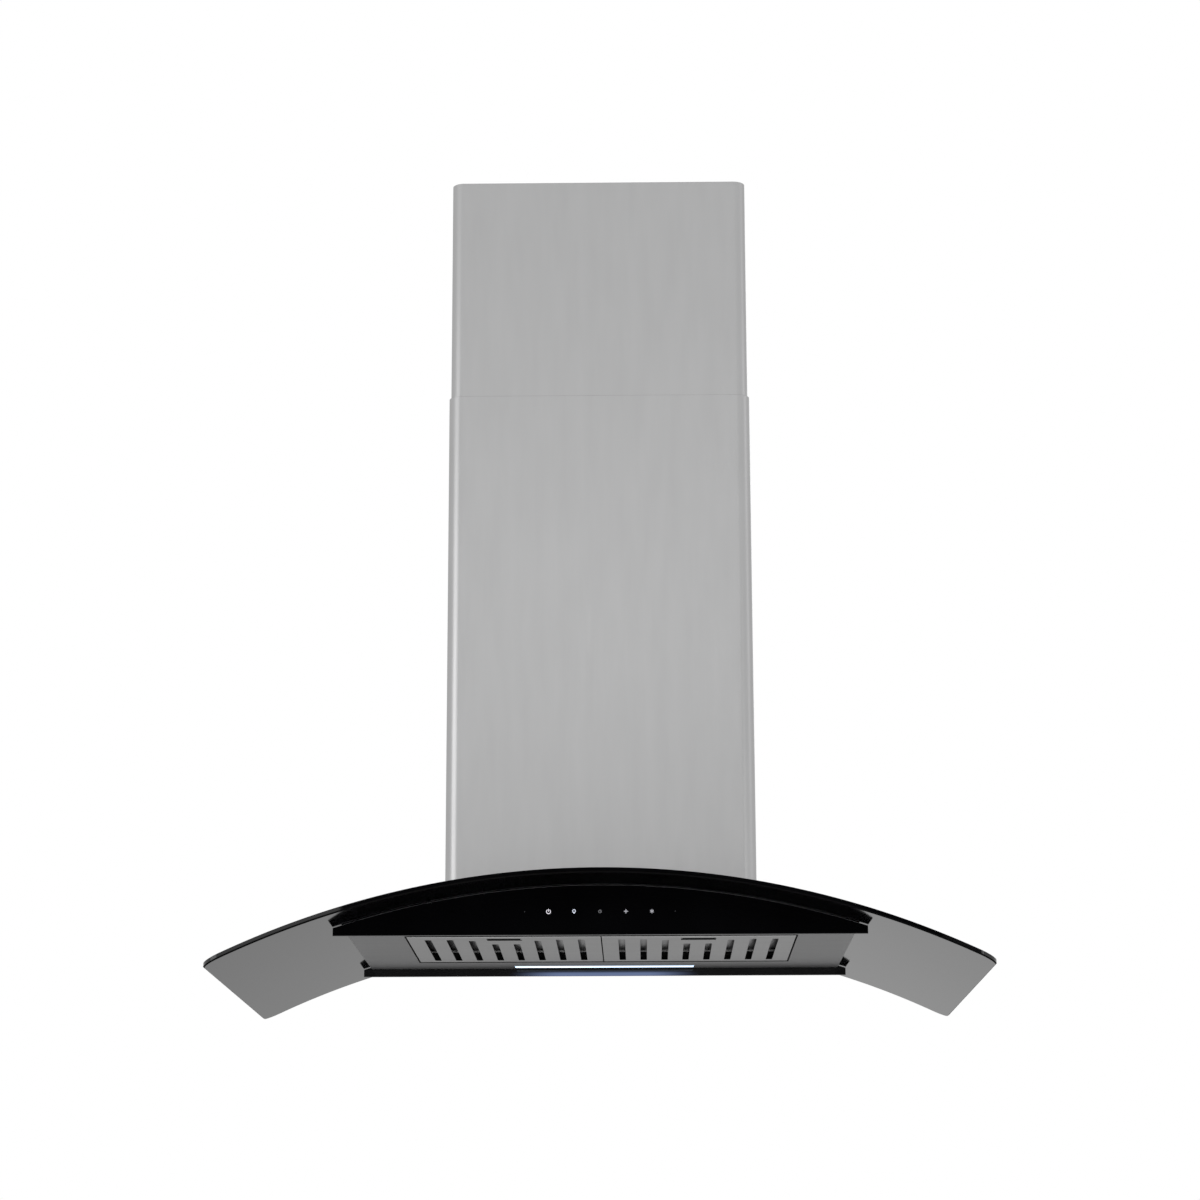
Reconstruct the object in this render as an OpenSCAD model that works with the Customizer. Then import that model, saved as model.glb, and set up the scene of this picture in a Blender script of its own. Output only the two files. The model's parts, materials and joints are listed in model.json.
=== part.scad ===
// Island chimney range hood with a curved glass canopy.
// Frame: origin at the centre of the ceiling mounting face, X to the right, -Y to the front, +Z up.

/* [Chimney covers] */
// Width of the upper cover
upper_w = 366; // [360:1:390]
// Depth of the upper cover
upper_d = 296; // [290:1:320]
// Length of the upper cover
upper_len = 560; // [540:1:570]
// Length of the upper cover that shows above the lower one
upper_show = 280; // [275:1:290]
// Length of the lower cover above the crown of the glass
lower_len = 608; // [603:1:640]
// Thickness of the cover sheet
sheet = 0.8; // [0.6:0.1:1]
// Clearance between the two covers
cover_gap = 1.4; // [1.3:0.1:2]
// Outer corner radius of the upper cover
corner_r = 14; // [8:1:18]
// Half width of the lap strips behind the side seams
lap_half = 10; // [8:1:14]

/* [Height adjustment] */
// Travel of the hood up and down from the stored height
travel = 250; // [150:5:250]
// Leg of the angle rails
rail_leg = 25; // [20:1:28]
// Thickness of the angle rails
rail_t = 2; // [1.5:0.1:2.4]
// Clearance between the sliding rails
rail_gap = 0.3; // [0.2:0.05:0.5]

/* [Glass canopy] */
// Width of the glass, tip to tip
glass_w = 900; // [860:10:1000]
// Depth of the glass, front to back
glass_d = 600; // [560:10:700]
// Thickness of the glass
glass_t = 6; // [5:1:8]
// Rise of the arch over the full width
glass_rise = 105; // [90:1:110]
// Plan radius of the glass corners
glass_corner_r = 20; // [10:1:40]
// Gap between the body and the glass, filled by the gasket
seat_gap = 2.2; // [1.8:0.1:3]

/* [Body] */
// Width of the steel body
body_w = 602; // [596:1:604]
// Depth of the steel body
body_d = 400; // [396:2:440]
// Thickness of the body sheet
body_sheet = 1.2; // [1:0.1:1.5]
// Height of the body's thin end edges
end_edge = 1.4; // [1.3:0.1:3]
// Width of the glass front and rear panels
panel_w = 622; // [612:1:626]
// Thickness of the glass panels
panel_t = 4; // [3:0.5:5]
// Gap between the body and each panel
panel_gap = 3; // [2.6:0.1:4]
// Gap between the panels' arched tops and the glass
panel_top_gap = 0.5; // [0.3:0.1:3]
// How far the panels reach below the steel underside
panel_lip = 9.2; // [8:0.1:12]

/* [Filters] */
// Width of one filter
filter_w = 231.4; // [226:0.2:234]
// Depth of one filter
filter_d = 242; // [234:1:244]
// Height of one filter
filter_h = 15; // [14:0.5:16]
// Gap between the two filters
filter_split = 1.2; // [0.8:0.1:3]
// Distance of the filters' rear edge behind the middle of the body
filter_rear = 125; // [120:1:128]
// Clearance beside the filters
filter_gap = 2; // [1.5:0.1:3]
// Clearance behind the filters, bridged by the hinge tabs
filter_rear_gap = 8; // [3:0.5:10]
// Clearance in front of the filters, for the swing
filter_front_gap = 11.5; // [9:0.5:13]
// Slots in each filter
slot_count = 8; // [6:2:8]
// Distance from slot to slot
slot_pitch = 26.3; // [24:0.1:27]
// Width of a slot
slot_w = 8; // [5:0.5:9]
// Plain margin behind the slots
slot_rear_margin = 13; // [10:1:24]
// Plain margin in front of the outer slots
slot_front_margin = 26; // [20:1:40]
// Width of the finger opening
pull_w = 42; // [38:1:50]
// Length of the finger opening, front to back
pull_d = 20; // [12:1:22]
// Plain margin in front of the finger opening
pull_margin = 15; // [13:1:25]
// Travel of the latch
latch_travel = 5; // [4.8:0.1:6]

/* [Lamp] */
// Length of the light window
lamp_l = 229; // [150:1:300]
// Width of the light window
lamp_w = 22; // [16:1:26]
// Distance of the light window behind the middle of the body
lamp_y = 179; // [176:1:180]

/* [Touch panel] */
// Distance from sign to sign
sign_pitch = 30.2; // [24:0.1:34]
// Height of the signs above the panels' lower edge
sign_up = 27; // [24:1:32]
// Width across a sign
sign_d = 5.6; // [5:0.1:8]

/* [Blower] */
// Room between the motor box and the upper cover's outside, left and right
room_x = 33; // [33:1:38]
// Room between the motor box and the upper cover's outside, front and rear
room_y = 16; // [15.5:0.1:18]
// Height of the motor box above the crown of the glass
box_up = 290; // [286:1:300]
// Thickness of the motor box sheet
box_sheet = 1; // [0.8:0.1:1.2]
// Outer radius of the impeller
wheel_r = 65; // [60:0.5:66]
// Width of the impeller
wheel_w = 96; // [80:1:100]
// Blades round each half of the impeller
blade_count = 28; // [16:1:32]
// Radius of the motor shaft
shaft_r = 4; // [3:0.1:5]
// Outer radius of the outlet collar
collar_r = 74.5; // [72:0.1:76]
// Length of the outlet collar
collar_l = 60; // [50:1:70]
// Distance of the outlet behind the middle of the box
outlet_y = 35; // [30:1:40]

/* [Ceiling plate] */
// Thickness of the ceiling plate
plate_t = 2; // [1.5:0.1:3]
// Distance from the ceiling screws' centres to the duct opening
duct_room = 18; // [14:1:20]
// Corner radius of the duct opening
duct_r = 20; // [10:1:40]
// Radius of the holes for the ceiling screws
anchor_r = 4.25; // [3.5:0.05:5]
// Distance between the ceiling screws, side to side
anchor_x = 220; // [200:1:240]
// Distance between the ceiling screws, front to back
anchor_y = 200; // [190:1:210]

/* [Hidden] */
$fn = 48;
eps = 0.01;
far = 2000;
arc_fn = 720;
touch = 0.1;

// The arch: its centre lies below the middle of the crown
crown_z = -(upper_show + lower_len);
arch_r = (glass_w * glass_w / 4 + glass_rise * glass_rise) / (2 * glass_rise);
under_r = arch_r - glass_t;
seat_r = under_r - seat_gap;
cover_seat = 0.4;

// The flat underside lies where the arch runs out at the body's ends
underside_z = crown_z - arch_r + sqrt(seat_r * seat_r - body_w * body_w / 4) - end_edge;
panel_z = underside_z - panel_lip;

// Lower cover, outside the upper one
step = cover_gap + sheet;
lower_w = upper_w + 2 * step;
lower_d = upper_d + 2 * step;
lower_r = corner_r + step;
lap_t = 0.5;
seam = 0.3;

// Rails: the lower ones lie on the motor box, the upper ones outside them
box_w = upper_w - 2 * room_x;
box_d = upper_d - 2 * room_y;
low_x = box_w / 2 + touch + rail_t;
low_y = box_d / 2 + touch + rail_t;
up_x = low_x + rail_gap + rail_t;
up_y = low_y + rail_gap + rail_t;
bolt_r = 2.9;
bolt_step = 30;
flange_h = 25;
duct_d = 2 * (outlet_y + collar_r + 17);
low_rail_top = -(travel + flange_h + plate_t + 8);
bolt_top = low_rail_top - 15;
slot_top = bolt_top + travel + bolt_r + 1;
slot_bottom = bolt_top - bolt_step - travel - bolt_r - 1;
up_rail_bottom = slot_bottom - 12;
bolt_x = low_x - rail_leg / 2;

// Rim under the glass
rim = 12;

// Motor plate and the box flange on it
mplate_t = 1.2;
mplate_z = crown_z - glass_t - 18;
mplate_w = box_w + 30;
box_flange = 12;
box_flange_t = 1;
tab_w = 30;
tab_h = 20;
low_rail_bottom = mplate_z + box_flange_t + 0.4;
cut_w = 2 * (low_x + 4.4);
cut_d = 2 * (low_y + 4.4);

// Small screws
screw_r = 2;
head_r = 4;
head_h = 2.2;
hole_r = screw_r + 0.15;

// Filters
face_t = 1;
filter_front = filter_rear - filter_d;
filter_x = (filter_w + filter_split) / 2;
open_half = filter_split / 2 + filter_w + filter_gap;
open_front = filter_front - filter_front_gap;
open_rear = filter_rear + filter_rear_gap;
baffle_up = filter_h - 1.6;
tongue_t = 2;
tongue_up = baffle_up - 1.2 - tongue_t;
tongue_w = 28;
ledge_top = tongue_up - 0.3;
lip_rear = filter_front - 2.8;
tongue_tip = lip_rear - latch_travel + 0.8;
pull_front = filter_front + pull_margin;
finger_y = pull_front + pull_d - latch_travel - 2.2;

// Blower
wheel_z = crown_z + 115;
scroll_t = 2.5;
scroll_half = wheel_w / 2 + 9.5 + scroll_t;
throat_w = 80;
spiral_start = wheel_r + 7;
spiral_grow = 30;
spiral_end = spiral_start + spiral_grow;
wheel_y = outlet_y - spiral_end + throat_w / 2;
inlet_r = wheel_r - 13;
motor_r = wheel_r - 23;
box_top = crown_z + box_up;
collar_t = 2;
collar_base = 3;
pin_z = box_top + collar_base + 25;
pin_r = 2;

// Mirrored to the four corners
corners = [[-1, -1], [1, -1], [-1, 1], [1, 1]];

// Screw places: [position, direction the head faces]
rail_screws_at = [for (c = corners) for (dz = [8, 18])
    [[c[0] * bolt_x, c[1] * up_y, -plate_t - dz], c[1] * 90]];
box_screws_at = [for (c = corners) for (up = [12, 32])
    [[c[0] * bolt_x, c[1] * low_y, crown_z + up], c[1] * 90]];
clip_x = 30;
clip_t = 1.5;
clip_screws_at = [for (c = corners)
    [[c[0] * clip_x, c[1] * (box_d / 2 + touch + clip_t), crown_z + 10], c[1] * 90]];
flange_screws_at = [for (c = corners)
    [[c[0] * (box_w / 2 + box_flange / 2 + 0.5), c[1] * box_d / 4, mplate_z + box_flange_t], 0]];
wall_screws_at = [for (c = corners)
    [[c[0] * (mplate_w - tab_w) / 2, c[1] * body_d / 2, mplate_z - 13], c[1] * 90]];
base_x = collar_r - 4.5;
base_y = 45;
blower_screws_at = [for (c = corners) [[c[0] * base_x, outlet_y + c[1] * base_y, box_top + collar_base], 0]];

// Arch cylinder along Y
module arch(r, depth = far) {
    translate([0, 0, crown_z - arch_r]) rotate([90, 0, 0])
        cylinder(r = r, h = depth, center = true, $fn = arc_fn);
}

// Upright block with rounded corners, centred on the Z axis
module round_block(w, d, r, z0, z1) {
    translate([-w / 2 + r, -d / 2, z0]) cube([w - 2 * r, d, z1 - z0]);
    translate([-w / 2, -d / 2 + r, z0]) cube([w, d - 2 * r, z1 - z0]);
    for (c = corners)
        translate([c[0] * (w / 2 - r), c[1] * (d / 2 - r), z0]) cylinder(r = r, h = z1 - z0);
}

// Block between two corner points
module block(a, b) {
    translate(a) cube(b - a);
}

// Block centred on x and y, from z0 to z1
module slab(w, d, z0, z1) {
    translate([-w / 2, -d / 2, z0]) cube([w, d, z1 - z0]);
}

// Turns +Z to face -Y (turn = -90), +Y (turn = 90) or up (turn = 0)
module facing(at, turn) {
    translate(at) rotate([-turn, 0, 0]) children();
}

module pan_screw(len) {
    cylinder(r = head_r, h = head_h);
    translate([0, 0, -len]) cylinder(r = screw_r, h = len + eps);
}

module screw_holes(places) {
    for (p = places) facing(p[0], p[1]) cylinder(r = hole_r, h = 30, center = true);
}

// Chimney covers

module tube(w, d, r, z0, z1) {
    difference() {
        round_block(w, d, r, z0, z1);
        round_block(w - 2 * sheet, d - 2 * sheet, r - sheet, z0 - 1, z1 + 1);
    }
}

// Front half of a tube: everything in front of the side seam
module front_half(w, d, r, z0, z1) {
    difference() {
        tube(w, d, r, z0, z1);
        translate([-w, -seam / 2, z0 - 1]) cube([2 * w, d, z1 - z0 + 2]);
    }
}

// Rear half with a lap strip behind each side seam
module rear_half(w, d, r, z0, z1, strip0, strip1) {
    difference() {
        tube(w, d, r, z0, z1);
        translate([-w, seam / 2 - d, z0 - 1]) cube([2 * w, d, z1 - z0 + 2]);
    }
    for (s = [-1, 1]) translate([s * (w / 2 - sheet), 0, strip0]) mirror([s > 0 ? 1 : 0, 0, 0]) {
        translate([0, seam / 2, 0]) cube([lap_t, lap_half, strip1 - strip0]);
        translate([touch, -lap_half, 0]) cube([lap_t - touch, lap_half + 1, strip1 - strip0]);
    }
}

// Flat-headed screw through a side seam, head out along the given side
low_head_h = 0.6;
module side_screw(at, side) {
    len = sheet + lap_t;
    translate(at) rotate([0, side * 90, 0]) {
        cylinder(r = head_r, h = low_head_h);
        translate([0, 0, -len]) cylinder(r = 1.5, h = len + eps);
    }
}

module side_hole(at, side) {
    translate(at) rotate([0, side * 90, 0]) cylinder(r = 1.65, h = 12, center = true);
}

up_screw_z = [-14, -upper_len + 40];
up_screws_at = [for (s = [-1, 1]) for (z = up_screw_z) for (y = [-5, 5]) [[s * upper_w / 2, y, z], s]];
low_screws_at = [for (s = [-1, 1]) for (z = [-upper_show - 30, crown_z + 60]) for (y = [-5, 5])
    [[s * lower_w / 2, y, z], s]];

module upper_cover_front() {
    color("silver") difference() {
        front_half(upper_w, upper_d, corner_r, -upper_len, -0.5);
        for (p = up_screws_at) side_hole(p[0], p[1]);
    }
}

module upper_cover_rear() {
    color("silver") difference() {
        rear_half(upper_w, upper_d, corner_r, -upper_len, -0.5, -upper_len + 5, -plate_t - flange_h - 4);
        for (p = up_screws_at) side_hole(p[0], p[1]);
    }
}

module upper_cover_screws() {
    color("gainsboro") for (p = up_screws_at) side_screw(p[0], p[1]);
}

module lower_cover_front() {
    color("silver") difference() {
        front_half(lower_w, lower_d, lower_r, crown_z - 30, -upper_show);
        arch(arch_r + cover_seat);
        for (p = low_screws_at) side_hole(p[0], p[1]);
    }
}

module lower_cover_rear() {
    color("silver") difference() {
        rear_half(lower_w, lower_d, lower_r, crown_z - 30, -upper_show, crown_z - 30, -upper_show - 5);
        arch(arch_r + cover_seat);
        for (p = low_screws_at) side_hole(p[0], p[1]);
    }
}

module lower_cover_screws() {
    color("gainsboro") for (p = low_screws_at) side_screw(p[0], p[1]);
}

// Ceiling plate and rails

module ceiling_plate() {
    fit = 0.3;
    w = upper_w - 2 * sheet - 2 * fit;
    d = upper_d - 2 * sheet - 2 * fit;
    flange_y = up_y - rail_t - touch;
    color("lightsteelblue") difference() {
        union() {
            round_block(w, d, corner_r - sheet, -plate_t, 0);
            for (s = [-1, 1]) {
                translate([-box_w / 2, s * (flange_y - rail_t / 2) - rail_t / 2, -plate_t - flange_h])
                    cube([box_w, rail_t, flange_h + 1]);
                translate([s * (w / 2 - rail_t / 2) - rail_t / 2, -40, -plate_t - flange_h])
                    cube([rail_t, 80, flange_h + 1]);
            }
        }
        round_block(anchor_x - 2 * duct_room, duct_d, duct_r, -plate_t - 1, 1);
        for (c = corners)
            translate([c[0] * anchor_x / 2, c[1] * anchor_y / 2, -plate_t - 1])
                cylinder(r = anchor_r, h = plate_t + 2);
        screw_holes(rail_screws_at);
        for (p = up_screws_at) side_hole(p[0], p[1]);
    }
}

// Angle rail in one corner: c gives the corner, ox and oy its outer faces
module angle_rail(c, ox, oy, z0, z1) {
    scale_x = c[0];
    scale_y = c[1];
    translate([scale_x > 0 ? ox - rail_t : -ox, scale_y > 0 ? oy - rail_leg : -oy, z0])
        cube([rail_t, rail_leg, z1 - z0]);
    translate([scale_x > 0 ? ox - rail_leg : -ox, scale_y > 0 ? oy - rail_t : -oy, z0])
        cube([rail_leg, rail_t, z1 - z0]);
}

// Upright slot through a rail, with round ends
module slot_cut(r, z0, z1) {
    for (z = [z0 + r, z1 - r])
        translate([0, 0, z]) rotate([90, 0, 0]) cylinder(r = r, h = 4 * rail_t, center = true);
    slab(2 * r, 4 * rail_t, z0 + r, z1 - r);
}

// The upper rail's slot lets the height bolts run the whole travel
module upper_rail(c) {
    color("lightsteelblue") difference() {
        angle_rail(c, up_x, up_y, up_rail_bottom, -plate_t - touch);
        translate([c[0] * bolt_x, c[1] * up_y, 0]) slot_cut(bolt_r + 0.3, slot_bottom, slot_top);
        screw_holes(rail_screws_at);
    }
}

module upper_rail_front_left() { upper_rail([-1, -1]); }
module upper_rail_front_right() { upper_rail([1, -1]); }
module upper_rail_rear_left() { upper_rail([-1, 1]); }
module upper_rail_rear_right() { upper_rail([1, 1]); }

module upper_rail_screws() {
    color("gainsboro") for (p = rail_screws_at) facing(p[0], p[1]) pan_screw(6);
}

module lower_rail(c) {
    color("lightsteelblue") difference() {
        angle_rail(c, low_x, low_y, low_rail_bottom, low_rail_top);
        for (i = [0, 1])
            translate([c[0] * bolt_x, c[1] * low_y, bolt_top - i * bolt_step]) rotate([90, 0, 0])
                cylinder(r = bolt_r + 0.15, h = 4 * rail_t, center = true);
        screw_holes(box_screws_at);
    }
}

module lower_rail_front_left() { lower_rail([-1, -1]); }
module lower_rail_front_right() { lower_rail([1, -1]); }
module lower_rail_rear_left() { lower_rail([-1, 1]); }
module lower_rail_rear_right() { lower_rail([1, 1]); }

bolt_places = [for (c = corners) for (i = [0, 1])
    [[c[0] * bolt_x, c[1] * (up_y + touch), bolt_top - i * bolt_step], c[1] * 90]];

module height_bolts() {
    reach = 2 * rail_t + rail_gap + 8;
    color("dimgray") for (p = bolt_places) facing(p[0], p[1]) {
        cylinder(r = 6, h = 1.2);
        translate([0, 0, 1.2 - eps]) cylinder(r = 5.77, h = 4, $fn = 6);
        translate([0, 0, -reach]) cylinder(r = bolt_r, h = reach + 1);
    }
}

module height_nuts() {
    inner = 2 * rail_t + rail_gap + 2 * touch;
    color("dimgray") for (p = bolt_places) facing(p[0], p[1]) translate([0, 0, -inner - 5])
        difference() {
            cylinder(r = 5.77, h = 5, $fn = 6);
            translate([0, 0, -1]) cylinder(r = bolt_r + 0.05, h = 7);
        }
}

// Motor box, blower and outlet

module motor_box() {
    color("lightgray") difference() {
        union() {
            slab(box_w, box_d, mplate_z, box_top);
            slab(box_w + 2 * box_flange, box_d + 2 * box_flange, mplate_z, mplate_z + box_flange_t);
        }
        slab(box_w - 2 * box_sheet, box_d - 2 * box_sheet, mplate_z - 1, box_top - box_sheet);
        translate([0, outlet_y, box_top - 5]) cylinder(r = collar_r - collar_t - 0.5, h = 10, $fn = 96);
        screw_holes(box_screws_at);
        screw_holes(clip_screws_at);
        screw_holes(flange_screws_at);
        screw_holes(blower_screws_at);
    }
}

module motor_plate() {
    top = mplate_z - touch;
    reach = body_d / 2 - body_sheet - touch;
    color("lightgray") difference() {
        union() {
            slab(mplate_w, 2 * reach, top - mplate_t, top);
            for (c = corners)
                translate([(c[0] * (mplate_w - tab_w) - tab_w) / 2, c[1] > 0 ? reach - mplate_t : -reach,
                    top - tab_h]) cube([tab_w, mplate_t, tab_h]);
        }
        slab(box_w - 2 * box_sheet, box_d - 2 * box_sheet, top - 5, top + 5);
        screw_holes(flange_screws_at);
        screw_holes(wall_screws_at);
    }
}

module pan_screws() {
    color("gainsboro") for (p = concat(box_screws_at, clip_screws_at, flange_screws_at, wall_screws_at,
        blower_screws_at)) facing(p[0], p[1]) pan_screw(6.5);
}

// Spiral from the tongue, round the wheel, to the outlet; extra widens it
function spiral(extra) = [for (a = [60:6:360])
    let (r = spiral_start + spiral_grow * (a - 60) / 300 + extra) [r * cos(a), r * sin(a)]];
throat_in = spiral_end - throat_w;
throat_top = box_top - box_sheet - touch - 3;

module spiral_plane() {
    translate([0, wheel_y, wheel_z]) rotate([90, 0, 90]) children();
}

module scroll_outline(extra) {
    rise = throat_top - wheel_z;
    polygon(concat(spiral(extra), [[spiral_end + extra, rise + (extra > 0 ? 0 : 1)],
        [throat_in - extra, rise + (extra > 0 ? 0 : 1)]]));
}

module blower_scroll() {
    color("dimgray") difference() {
        union() {
            spiral_plane() linear_extrude(2 * scroll_half, center = true) scroll_outline(scroll_t);
            translate([0, outlet_y, 0])
                slab(2 * base_x + 15, 2 * base_y + 15, throat_top - eps, throat_top + 3);
            for (s = [-1, 1])
                translate([s * (scroll_half - 1), wheel_y, wheel_z]) rotate([0, s * 90, 0])
                    cylinder(r = inlet_r + 4, h = 4);
        }
        spiral_plane() linear_extrude(2 * (scroll_half - scroll_t), center = true) scroll_outline(0);
        spiral_plane() cylinder(r = inlet_r, h = far, center = true, $fn = 72);
        translate([0, outlet_y, 0])
            slab(2 * (scroll_half - scroll_t), throat_w, throat_top - 2, throat_top + 5);
        screw_holes(blower_screws_at);
    }
}

motor_l = wheel_w / 2 + 6;
motor_face = -3.5;
motor_boss_r = 9;
motor_boss_h = 1.5;
motor_cap_l = 12;
cooling_slot = [8, 4];

module blower_motor() {
    back = motor_face - motor_l;
    color("darkgray") spiral_plane() difference() {
        union() {
            translate([0, 0, back]) cylinder(r = motor_r, h = motor_l, $fn = 72);
            translate([0, 0, motor_face - eps]) cylinder(r = motor_boss_r, h = motor_boss_h);
        }
        translate([0, 0, back + 4]) cylinder(r = shaft_r + 0.06, h = motor_l + 4);
        for (a = [0:30:330]) rotate([0, 0, a])
            translate([motor_r - cooling_slot[0] / 2, -cooling_slot[1] / 2, back + motor_cap_l])
                cube([cooling_slot[0], cooling_slot[1], motor_l - 2 * motor_cap_l]);
    }
}

module motor_bracket() {
    back = motor_face - motor_l - touch;
    seat = -scroll_half - 3 - touch;
    arm_t = 3;
    color("gray") spiral_plane() {
        translate([0, 0, seat - arm_t]) cylinder(r = 26, h = back - seat + arm_t);
        for (a = [90, 210, 330]) rotate([0, 0, a])
            translate([0, -8, seat - arm_t]) cube([inlet_r + 4, 16, arm_t]);
    }
}

module motor_shaft() {
    back = motor_face - motor_l + 5;
    color("silver") spiral_plane() translate([0, 0, back])
        cylinder(r = shaft_r, h = 22 - back);
}

ring_t = 4;

// Blades, middle disc and hub
module impeller() {
    blade_l = 11;
    blade_long = wheel_w - 2 * (ring_t + touch);
    color("slategray") spiral_plane() difference() {
        union() {
            translate([0, 0, -1]) cylinder(r = wheel_r - 1, h = 2, $fn = 72);
            translate([0, 0, -1]) cylinder(r = 12, h = 20);
            for (i = [0:blade_count - 1]) rotate([0, 0, i * 360 / blade_count])
                translate([wheel_r - 6.5, 0, 0]) rotate([0, 0, 35])
                    cube([blade_l, 1, blade_long], center = true);
        }
        translate([0, 0, -3]) cylinder(r = shaft_r + 0.05, h = 30);
    }
}

// Flat rings crimped on the blades' ends
module impeller_rings() {
    color("slategray") spiral_plane() for (z = [-wheel_w / 2, wheel_w / 2 - ring_t])
        translate([0, 0, z]) difference() {
            cylinder(r = wheel_r, h = ring_t, $fn = 72);
            translate([0, 0, -1]) cylinder(r = wheel_r - 11, h = ring_t + 2, $fn = 72);
        }
}

cap_r = 15;
cap_at = [box_w / 2 - box_sheet - cap_r - 6, -box_d / 2 + box_sheet + cap_r + touch, crown_z + 60];

module capacitor() {
    color("white") translate(cap_at) {
        cylinder(r = cap_r, h = 60);
        translate([0, 0, 60 - eps]) cylinder(r = 6, h = 5);
        for (x = [-3, 3]) translate([x - 1, -0.5, 64]) cube([2, 1, 7]);
    }
}

term = [54, 96, 34];
term_at = [box_w / 2 - term[0] - 4, -term[1] / 2, box_top + touch];

module terminal_box() {
    color("white") difference() {
        translate(term_at) cube(term);
        translate(term_at + [2, 2, 2]) cube([term[0] - 4, term[1] - 4, term[2]]);
        translate(term_at + [term[0] / 2, -1, term[2] / 2]) rotate([-90, 0, 0]) cylinder(r = 8.15, h = 5);
    }
    color("black") translate(term_at + [12, 20, 2]) cube([term[0] - 24, term[1] - 40, 12]);
}

module terminal_lid() {
    color("white") translate(term_at + [0, 0, term[2] + touch]) {
        cube([term[0], term[1], 2]);
        for (x = [6, term[0] - 6]) for (y = [6, term[1] - 6])
            translate([x, y, 2 - eps]) cylinder(r = 3, h = 1.6);
    }
}

module cable_gland() {
    color("black") translate(term_at + [term[0] / 2, -touch, term[2] / 2]) rotate([90, 0, 0]) difference() {
        union() {
            translate([0, 0, -4]) cylinder(r = 8, h = 5);
            cylinder(r = 12, h = 6, $fn = 6);
            translate([0, 0, 6 - eps]) cylinder(r = 10, h = 10);
        }
        translate([0, 0, -5]) cylinder(r = 5, h = 30);
    }
}

module outlet_collar() {
    base_r = collar_r + 13;
    color("dimgray") translate([0, outlet_y, box_top]) difference() {
        union() {
            intersection() {
                translate([0, 0, touch]) cylinder(r = base_r, h = collar_base - touch, $fn = 96);
                slab(2 * base_x + 20, 2 * (box_d / 2 - outlet_y - 4), -1, 9);
            }
            translate([0, 0, touch]) cylinder(r = collar_r, h = collar_base + collar_l, $fn = 96);
        }
        translate([0, 0, -1]) cylinder(r = collar_r - collar_t, h = collar_l + 20, $fn = 96);
        translate([0, 0, pin_z - box_top]) rotate([0, 90, 0])
            cylinder(r = pin_r + 0.1, h = far, center = true);
        translate([0, -outlet_y, -box_top]) screw_holes(blower_screws_at);
    }
}

module damper_pin() {
    color("silver") translate([0, outlet_y, pin_z]) rotate([0, 90, 0]) {
        cylinder(r = pin_r, h = 2 * collar_r - 1, center = true);
    }
}

// Half-round flap behind the pin; its knuckles take every other place along the pin
module damper_flap() {
    flap_r = collar_r - collar_t - 1;
    knuckle_r = 3.2;
    place = flap_r / 4;
    color("gray") difference() {
        union() {
            intersection() {
                translate([0, 0, -0.75]) cylinder(r = flap_r, h = 1.5, $fn = 96);
                block([-flap_r, knuckle_r + 0.4, -2], [flap_r, far, 2]);
            }
            for (i = [-3:2:1]) translate([i * place + 0.2, 0, 0]) {
                rotate([0, 90, 0]) cylinder(r = knuckle_r, h = place - 0.4);
                translate([0, 0, -0.75]) cube([place - 0.4, knuckle_r + 2, 1.5]);
            }
        }
        rotate([0, 90, 0]) cylinder(r = pin_r + 0.1, h = far, center = true);
    }
}

module damper_flap_rear() {
    translate([0, outlet_y, pin_z]) damper_flap();
}

module damper_flap_front() {
    translate([0, outlet_y, pin_z]) rotate([0, 0, 180]) damper_flap();
}

// Glass canopy

module canopy_glass() {
    color("dimgray") difference() {
        intersection() {
            round_block(glass_w, glass_d, glass_corner_r, crown_z - 200, crown_z + 20);
            arch(arch_r);
        }
        arch(under_r);
        slab(cut_w, cut_d, crown_z - 100, crown_z + 100);
    }
}

module glass_gasket() {
    deep = body_d + 2 * (panel_gap - 0.5);
    color("lightgray") difference() {
        intersection() {
            slab(body_w, deep, underside_z, crown_z);
            arch(under_r - touch);
        }
        arch(seat_r + touch);
        slab(body_w - 2 * rim, deep - 2 * rim, underside_z - 50, crown_z + 50);
    }
}

clip_leg = 14;
clip_h = 18;
clip_w = 20;

module glass_clips() {
    color("lightsteelblue") difference() {
        for (c = corners) {
            mirror([0, c[1] > 0 ? 0 : 1, 0]) translate([c[0] * clip_x, box_d / 2 + touch, crown_z + 0.3]) {
                block([-clip_w / 2, 0, 0], [clip_w / 2, clip_t, clip_h]);
                block([-clip_w / 2, 0, 0], [clip_w / 2, clip_leg, clip_t]);
            }
        }
        screw_holes(clip_screws_at);
    }
}

// Body

window_w = 190;
window_h = 24;
sign_z = panel_z + sign_up;

module body_shell() {
    color("silver") {
        difference() {
            intersection() {
                slab(body_w, body_d, underside_z, crown_z);
                arch(seat_r);
            }
            intersection() {
                slab(body_w - 2 * body_sheet, body_d - 2 * body_sheet, underside_z + body_sheet, crown_z);
                arch(seat_r - body_sheet);
            }
            slab(body_w - 2 * rim, body_d - 2 * rim, underside_z + body_sheet, crown_z + 10);
            block([-open_half, open_front, underside_z - 1], [open_half, open_rear, underside_z + 5]);
            lens_slot(0.3, underside_z - 1, underside_z + 5);
            translate([-window_w / 2, -body_d / 2 - 1, sign_z - window_h / 2]) cube([window_w, 5, window_h]);
            screw_holes(wall_screws_at);
        }
        for (s = [-1, 1])
            translate([s * (open_half + body_sheet / 2) - body_sheet / 2, open_front + 20, underside_z])
                cube([body_sheet, filter_d - 24, 7]);
    }
}

module lens_slot(grow, z0, z1) {
    translate([0, lamp_y, 0]) slab(lamp_l + 2 * grow, lamp_w + 2 * grow, z0, z1);
}

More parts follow.
